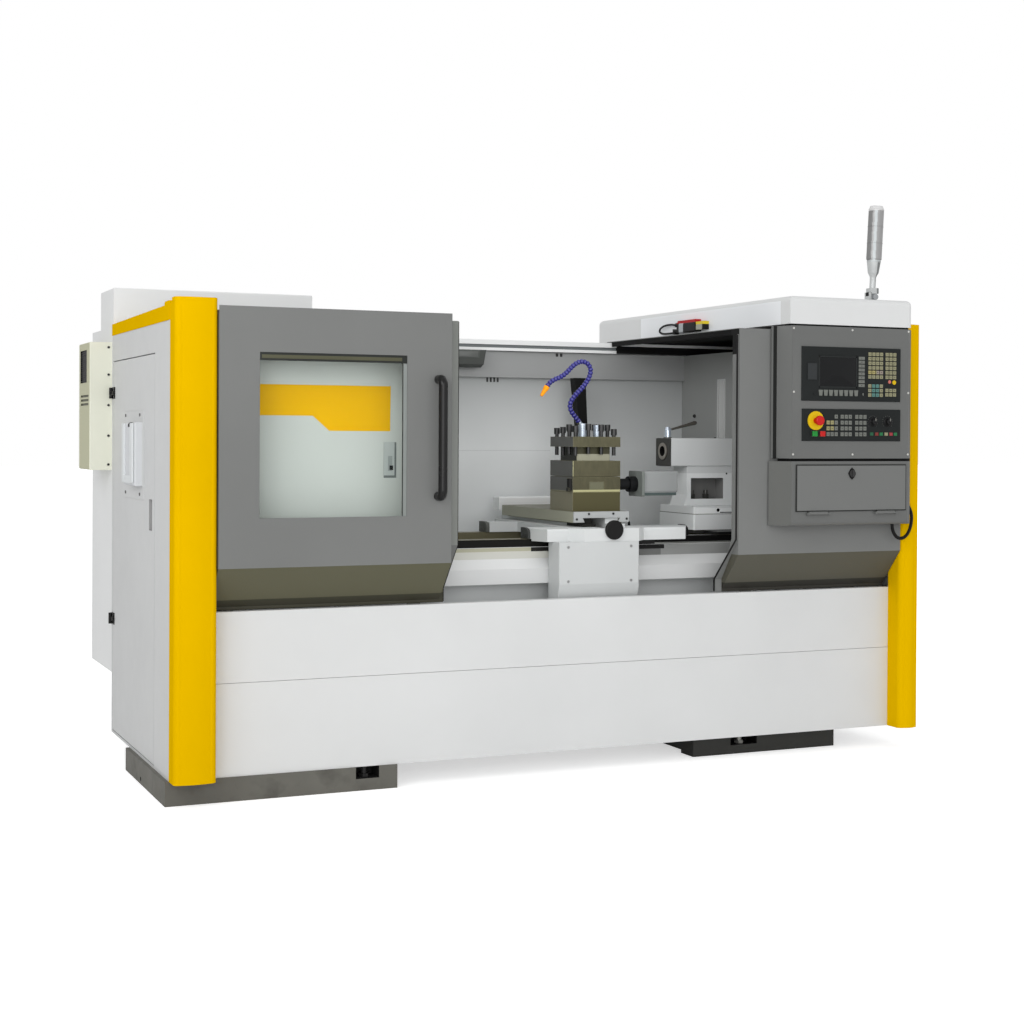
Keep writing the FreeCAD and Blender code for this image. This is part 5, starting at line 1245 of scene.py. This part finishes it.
@dataclass
class SignalLamp(Assembly):
    """Fold-down signal lamp on the canopy."""

    foot: Point = (2981.0, 20.0, 1902.0)   # where the lamp's axis starts, inside its bracket
    lean: float = 3.0                      # degrees to the right

    def build(self) -> None:
        """Dress the lamp and its bracket and add the cone, sleeve and collar round its stem."""
        self.dress("signal_mast", silver("lamp_silver", (0.765, 0.785, 0.79), zones=self.bands()))
        self.dress("lamp_bracket", silver("bracket_silver", (0.66, 0.67, 0.68), 0.4))
        self.sleeve()
        self.collar()

    def along(self, distance: float | np.ndarray) -> np.ndarray:
        """Points of the leaning axis at distances from its foot."""
        lean = math.radians(self.lean)
        return np.array(self.foot) + distance * np.array([math.sin(lean), 0.0, math.cos(lean)])

    def bands(self) -> tuple[Zone, ...]:
        """Upright bands of grey, painted reflections and shade, that follow the leaning light column in
        steps, and its pale cap.
        """
        x, y, start = self.foot
        step = 40
        # painted reflection and shade: a dark band on the left, a light strip, and a grey right side
        bands = []
        for z in range(2058, 2299, step):
            axis = x + (z + step / 2 - start) * math.sin(math.radians(self.lean))
            for left, right, grey in ((-70, -28, 0.55), (-28, -23, 0.69), (-13, 70, 0.65)):
                bands.append(Zone((axis + left, y - 40, z), (axis + right, y + 40, z + step),
                                  (grey, grey, grey), 0.4, 0.3))
        bands.append(Zone((x - 70, y - 40, 2268), (x + 70, y + 40, 2300), (0.88, 0.88, 0.88), 0.4, 0.1))
        return tuple(bands)

    def sleeve(self) -> None:
        """Turned sleeve and cone: distances along the axis with the radius at each."""
        x, y, _ = self.foot
        profile = np.array([(38.0, 12.6), (84.0, 13.0), (90.0, 15.0), (101.0, 21.0), (104.0, 22.5),
                            (148.0, 28.5), (152.0, 29.5)])
        shade = Zone((x + 8, y - 40, 1900), (x + 60, y + 40, 2060), (0.52, 0.53, 0.53), 0.4, 0.3)
        points, faces = swept_tube(place(self.along(profile[:, :1])), profile[:, 1] * MM, 32)
        make_piece("mast_sleeve", points, faces, silver("sleeve_silver", (0.80, 0.81, 0.81), zones=(shade,)),
                   "signal_mast")

    def collar(self) -> None:
        """Block round the stem's foot, with a small skirt at its left."""
        x, y, _ = self.foot
        middle = self.along(26.5)
        front, depth = y - 17.5, 35.0
        pieces = [plaques([[middle[0], front, middle[2]]], [[40.0, 24.0]], 3.0, bevelled(depth, 1.5), REAR),
                  plaques([[x - 20.5, front, 1907.0]], [[10.0, 30.0]], 1.0, bevelled(depth, 1.0), REAR)]
        # the second zone is painted shade on the collar's right side
        zones = (Zone((x - 60, y - 13, 1906), (x - 18, y + 9, 1923), (0.07, 0.07, 0.07), 0.5),
                 Zone((x + 12, y - 40, 1900), (x + 60, y + 40, 1950), (0.52, 0.53, 0.53), 0.4, 0.3))
        finish = silver("collar_silver", (0.80, 0.81, 0.81), zones=zones)
        self.fit("mast_collar", pieces, finish, "signal_mast")


# Studio

@dataclass
class Studio:
    """Camera at the photograph's place, soft light, pale floor and white surroundings."""

    eye: Point = (-1273.0, -5850.0, 1309.0)
    yaw: float = 23.834
    pitch: float = -0.5775
    roll: float = 0.3087
    lens: float = 58.85
    shift_up: float = -0.0581
    sky: float = 0.69
    key: float = 45.0
    fill: float = 370.0
    top_left: float = 50.0
    inside: float = 1.5

    def build(self) -> None:
        """Camera, world, lamps and floor."""
        bpy.context.scene.view_settings.view_transform = "Standard"
        self.camera()
        self.world()
        self.lamp("key", (2000.0, -7000.0, 2900.0), (1530.0, 390.0, 900.0), 4.5, self.key)
        self.lamp("fill", (-4100.0, -11000.0, 1900.0), (1530.0, 390.0, 900.0), 7.0, self.fill)
        self.lamp("top_left", (-2500.0, -2500.0, 3300.0), (1300.0, 1000.0, 1850.0), 2.0, self.top_left)
        self.lamp("inside", (1650.0, 20.0, 1560.0), (1700.0, 1000.0, 1000.0), 0.9, self.inside)
        self.floor()

    def camera(self) -> None:
        """The photograph's camera: yaw to the right, pitch, then roll about the view."""
        yaw, pitch, roll = (math.radians(a) for a in (self.yaw, self.pitch, self.roll))
        forward = Vector((math.sin(yaw) * math.cos(pitch), math.cos(yaw) * math.cos(pitch), math.sin(pitch)))
        level = Vector((math.cos(yaw), -math.sin(yaw), 0.0))
        upright = level.cross(forward)
        right = level * math.cos(roll) + upright * math.sin(roll)
        up = upright * math.cos(roll) - level * math.sin(roll)
        data = bpy.data.cameras.new("photograph")
        data.lens, data.sensor_width, data.shift_y = self.lens, 36.0, self.shift_up
        data.clip_end = 200.0
        camera = bpy.data.objects.new("photograph", data)
        axes = Matrix((right, up, -forward)).transposed().to_4x4()
        camera.matrix_world = Matrix.Translation(Vector(place(self.eye))) @ axes
        bpy.context.scene.collection.objects.link(camera)
        bpy.context.scene.camera = camera

    def world(self) -> None:
        """Even light all round, seen as plain white."""
        world = bpy.data.worlds.new("surroundings")
        world.use_nodes = True
        bpy.context.scene.world = world
        tree = world.node_tree
        seen = self.seen_directly(tree)
        strength = tree.nodes.new("ShaderNodeMapRange")
        strength.inputs["To Min"].default_value = self.sky
        strength.inputs["To Max"].default_value = 1.0
        tree.links.new(seen, strength.inputs["Value"])
        tree.links.new(strength.outputs["Result"], tree.nodes["Background"].inputs["Strength"])
        tree.nodes["Background"].inputs["Color"].default_value = (1.0, 1.0, 1.0, 1.0)

    @staticmethod
    def seen_directly(tree: bpy.types.NodeTree) -> bpy.types.NodeSocket:
        """1 for the camera's own view and for what shows through glass."""
        path = tree.nodes.new("ShaderNodeLightPath")
        both = tree.nodes.new("ShaderNodeMath")
        both.operation = "MAXIMUM"
        tree.links.new(path.outputs["Is Camera Ray"], both.inputs[0])
        tree.links.new(path.outputs["Is Transmission Ray"], both.inputs[1])
        return both.outputs[0]

    def lamp(self, name: str, where: Point, aim: Point, size: float, power: float) -> None:
        """A large soft lamp aimed at a point, which the camera doesn't see."""
        data = bpy.data.lights.new(name, "AREA")
        data.shape, data.size, data.energy = "SQUARE", size, power
        lamp = bpy.data.objects.new(name, data)
        start, target = Vector(place(where)), Vector(place(aim))
        turn = (target - start).to_track_quat("-Z", "Y").to_matrix().to_4x4()
        lamp.matrix_world = Matrix.Translation(start) @ turn
        lamp.visible_camera = False
        bpy.context.scene.collection.objects.link(lamp)

    def floor(self) -> None:
        """A wide pale floor that keeps the machine's shadow."""
        mesh = bpy.data.meshes.new("floor")
        half = 60.0
        corner_points = [(-half, -half, 0), (half, -half, 0), (half, half, 0), (-half, half, 0)]
        mesh.from_pydata(corner_points, [], [(0, 1, 2, 3)])
        floor = bpy.data.objects.new("floor", mesh)
        bpy.context.scene.collection.objects.link(floor)
        material = bpy.data.materials.new("floor")
        material.use_nodes = True
        tree = material.node_tree
        shader = tree.nodes["Principled BSDF"]
        shader.inputs["Base Color"].default_value = (0.86, 0.86, 0.86, 1.0)
        shader.inputs["Roughness"].default_value = 0.9
        shader.inputs["Emission Color"].default_value = (1.0, 1.0, 1.0, 1.0)
        away = tree.nodes.new("ShaderNodeVectorMath")
        away.operation = "LENGTH"
        tree.links.new(tree.nodes.new("ShaderNodeTexCoord").outputs["Object"], away.inputs[0])
        glow = tree.nodes.new("ShaderNodeMapRange")
        for name, value in (("From Min", 2.2), ("From Max", 6.0), ("To Min", 0.55), ("To Max", 1.2)):
            glow.inputs[name].default_value = value
        tree.links.new(away.outputs["Value"], glow.inputs["Value"])
        lift = tree.nodes.new("ShaderNodeMath")
        lift.operation = "MULTIPLY"
        tree.links.new(self.seen_directly(tree), lift.inputs[0])
        tree.links.new(glow.outputs["Result"], lift.inputs[1])
        tree.links.new(lift.outputs[0], shader.inputs["Emission Strength"])
        mesh.materials.append(material)
        floor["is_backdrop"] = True


def corners() -> list[list[float]]:
    """The shown object's lowest and highest corner as plain lists."""
    return [list(corner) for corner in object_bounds()]


def main() -> None:
    """Load the frame, dress it, add the fittings and set the studio."""
    logging.basicConfig(level=logging.INFO, format="%(message)s")
    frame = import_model()
    Studio().build()
    for kind in (Coolant, Console, Housing, RearEquipment, SlidingDoors, BedAndHeadstock, Carriage, ToolPost,
                 Tailstock, SignalLamp):
        kind(frame["nodes"]).build()


if __name__ == "__main__":
    main()
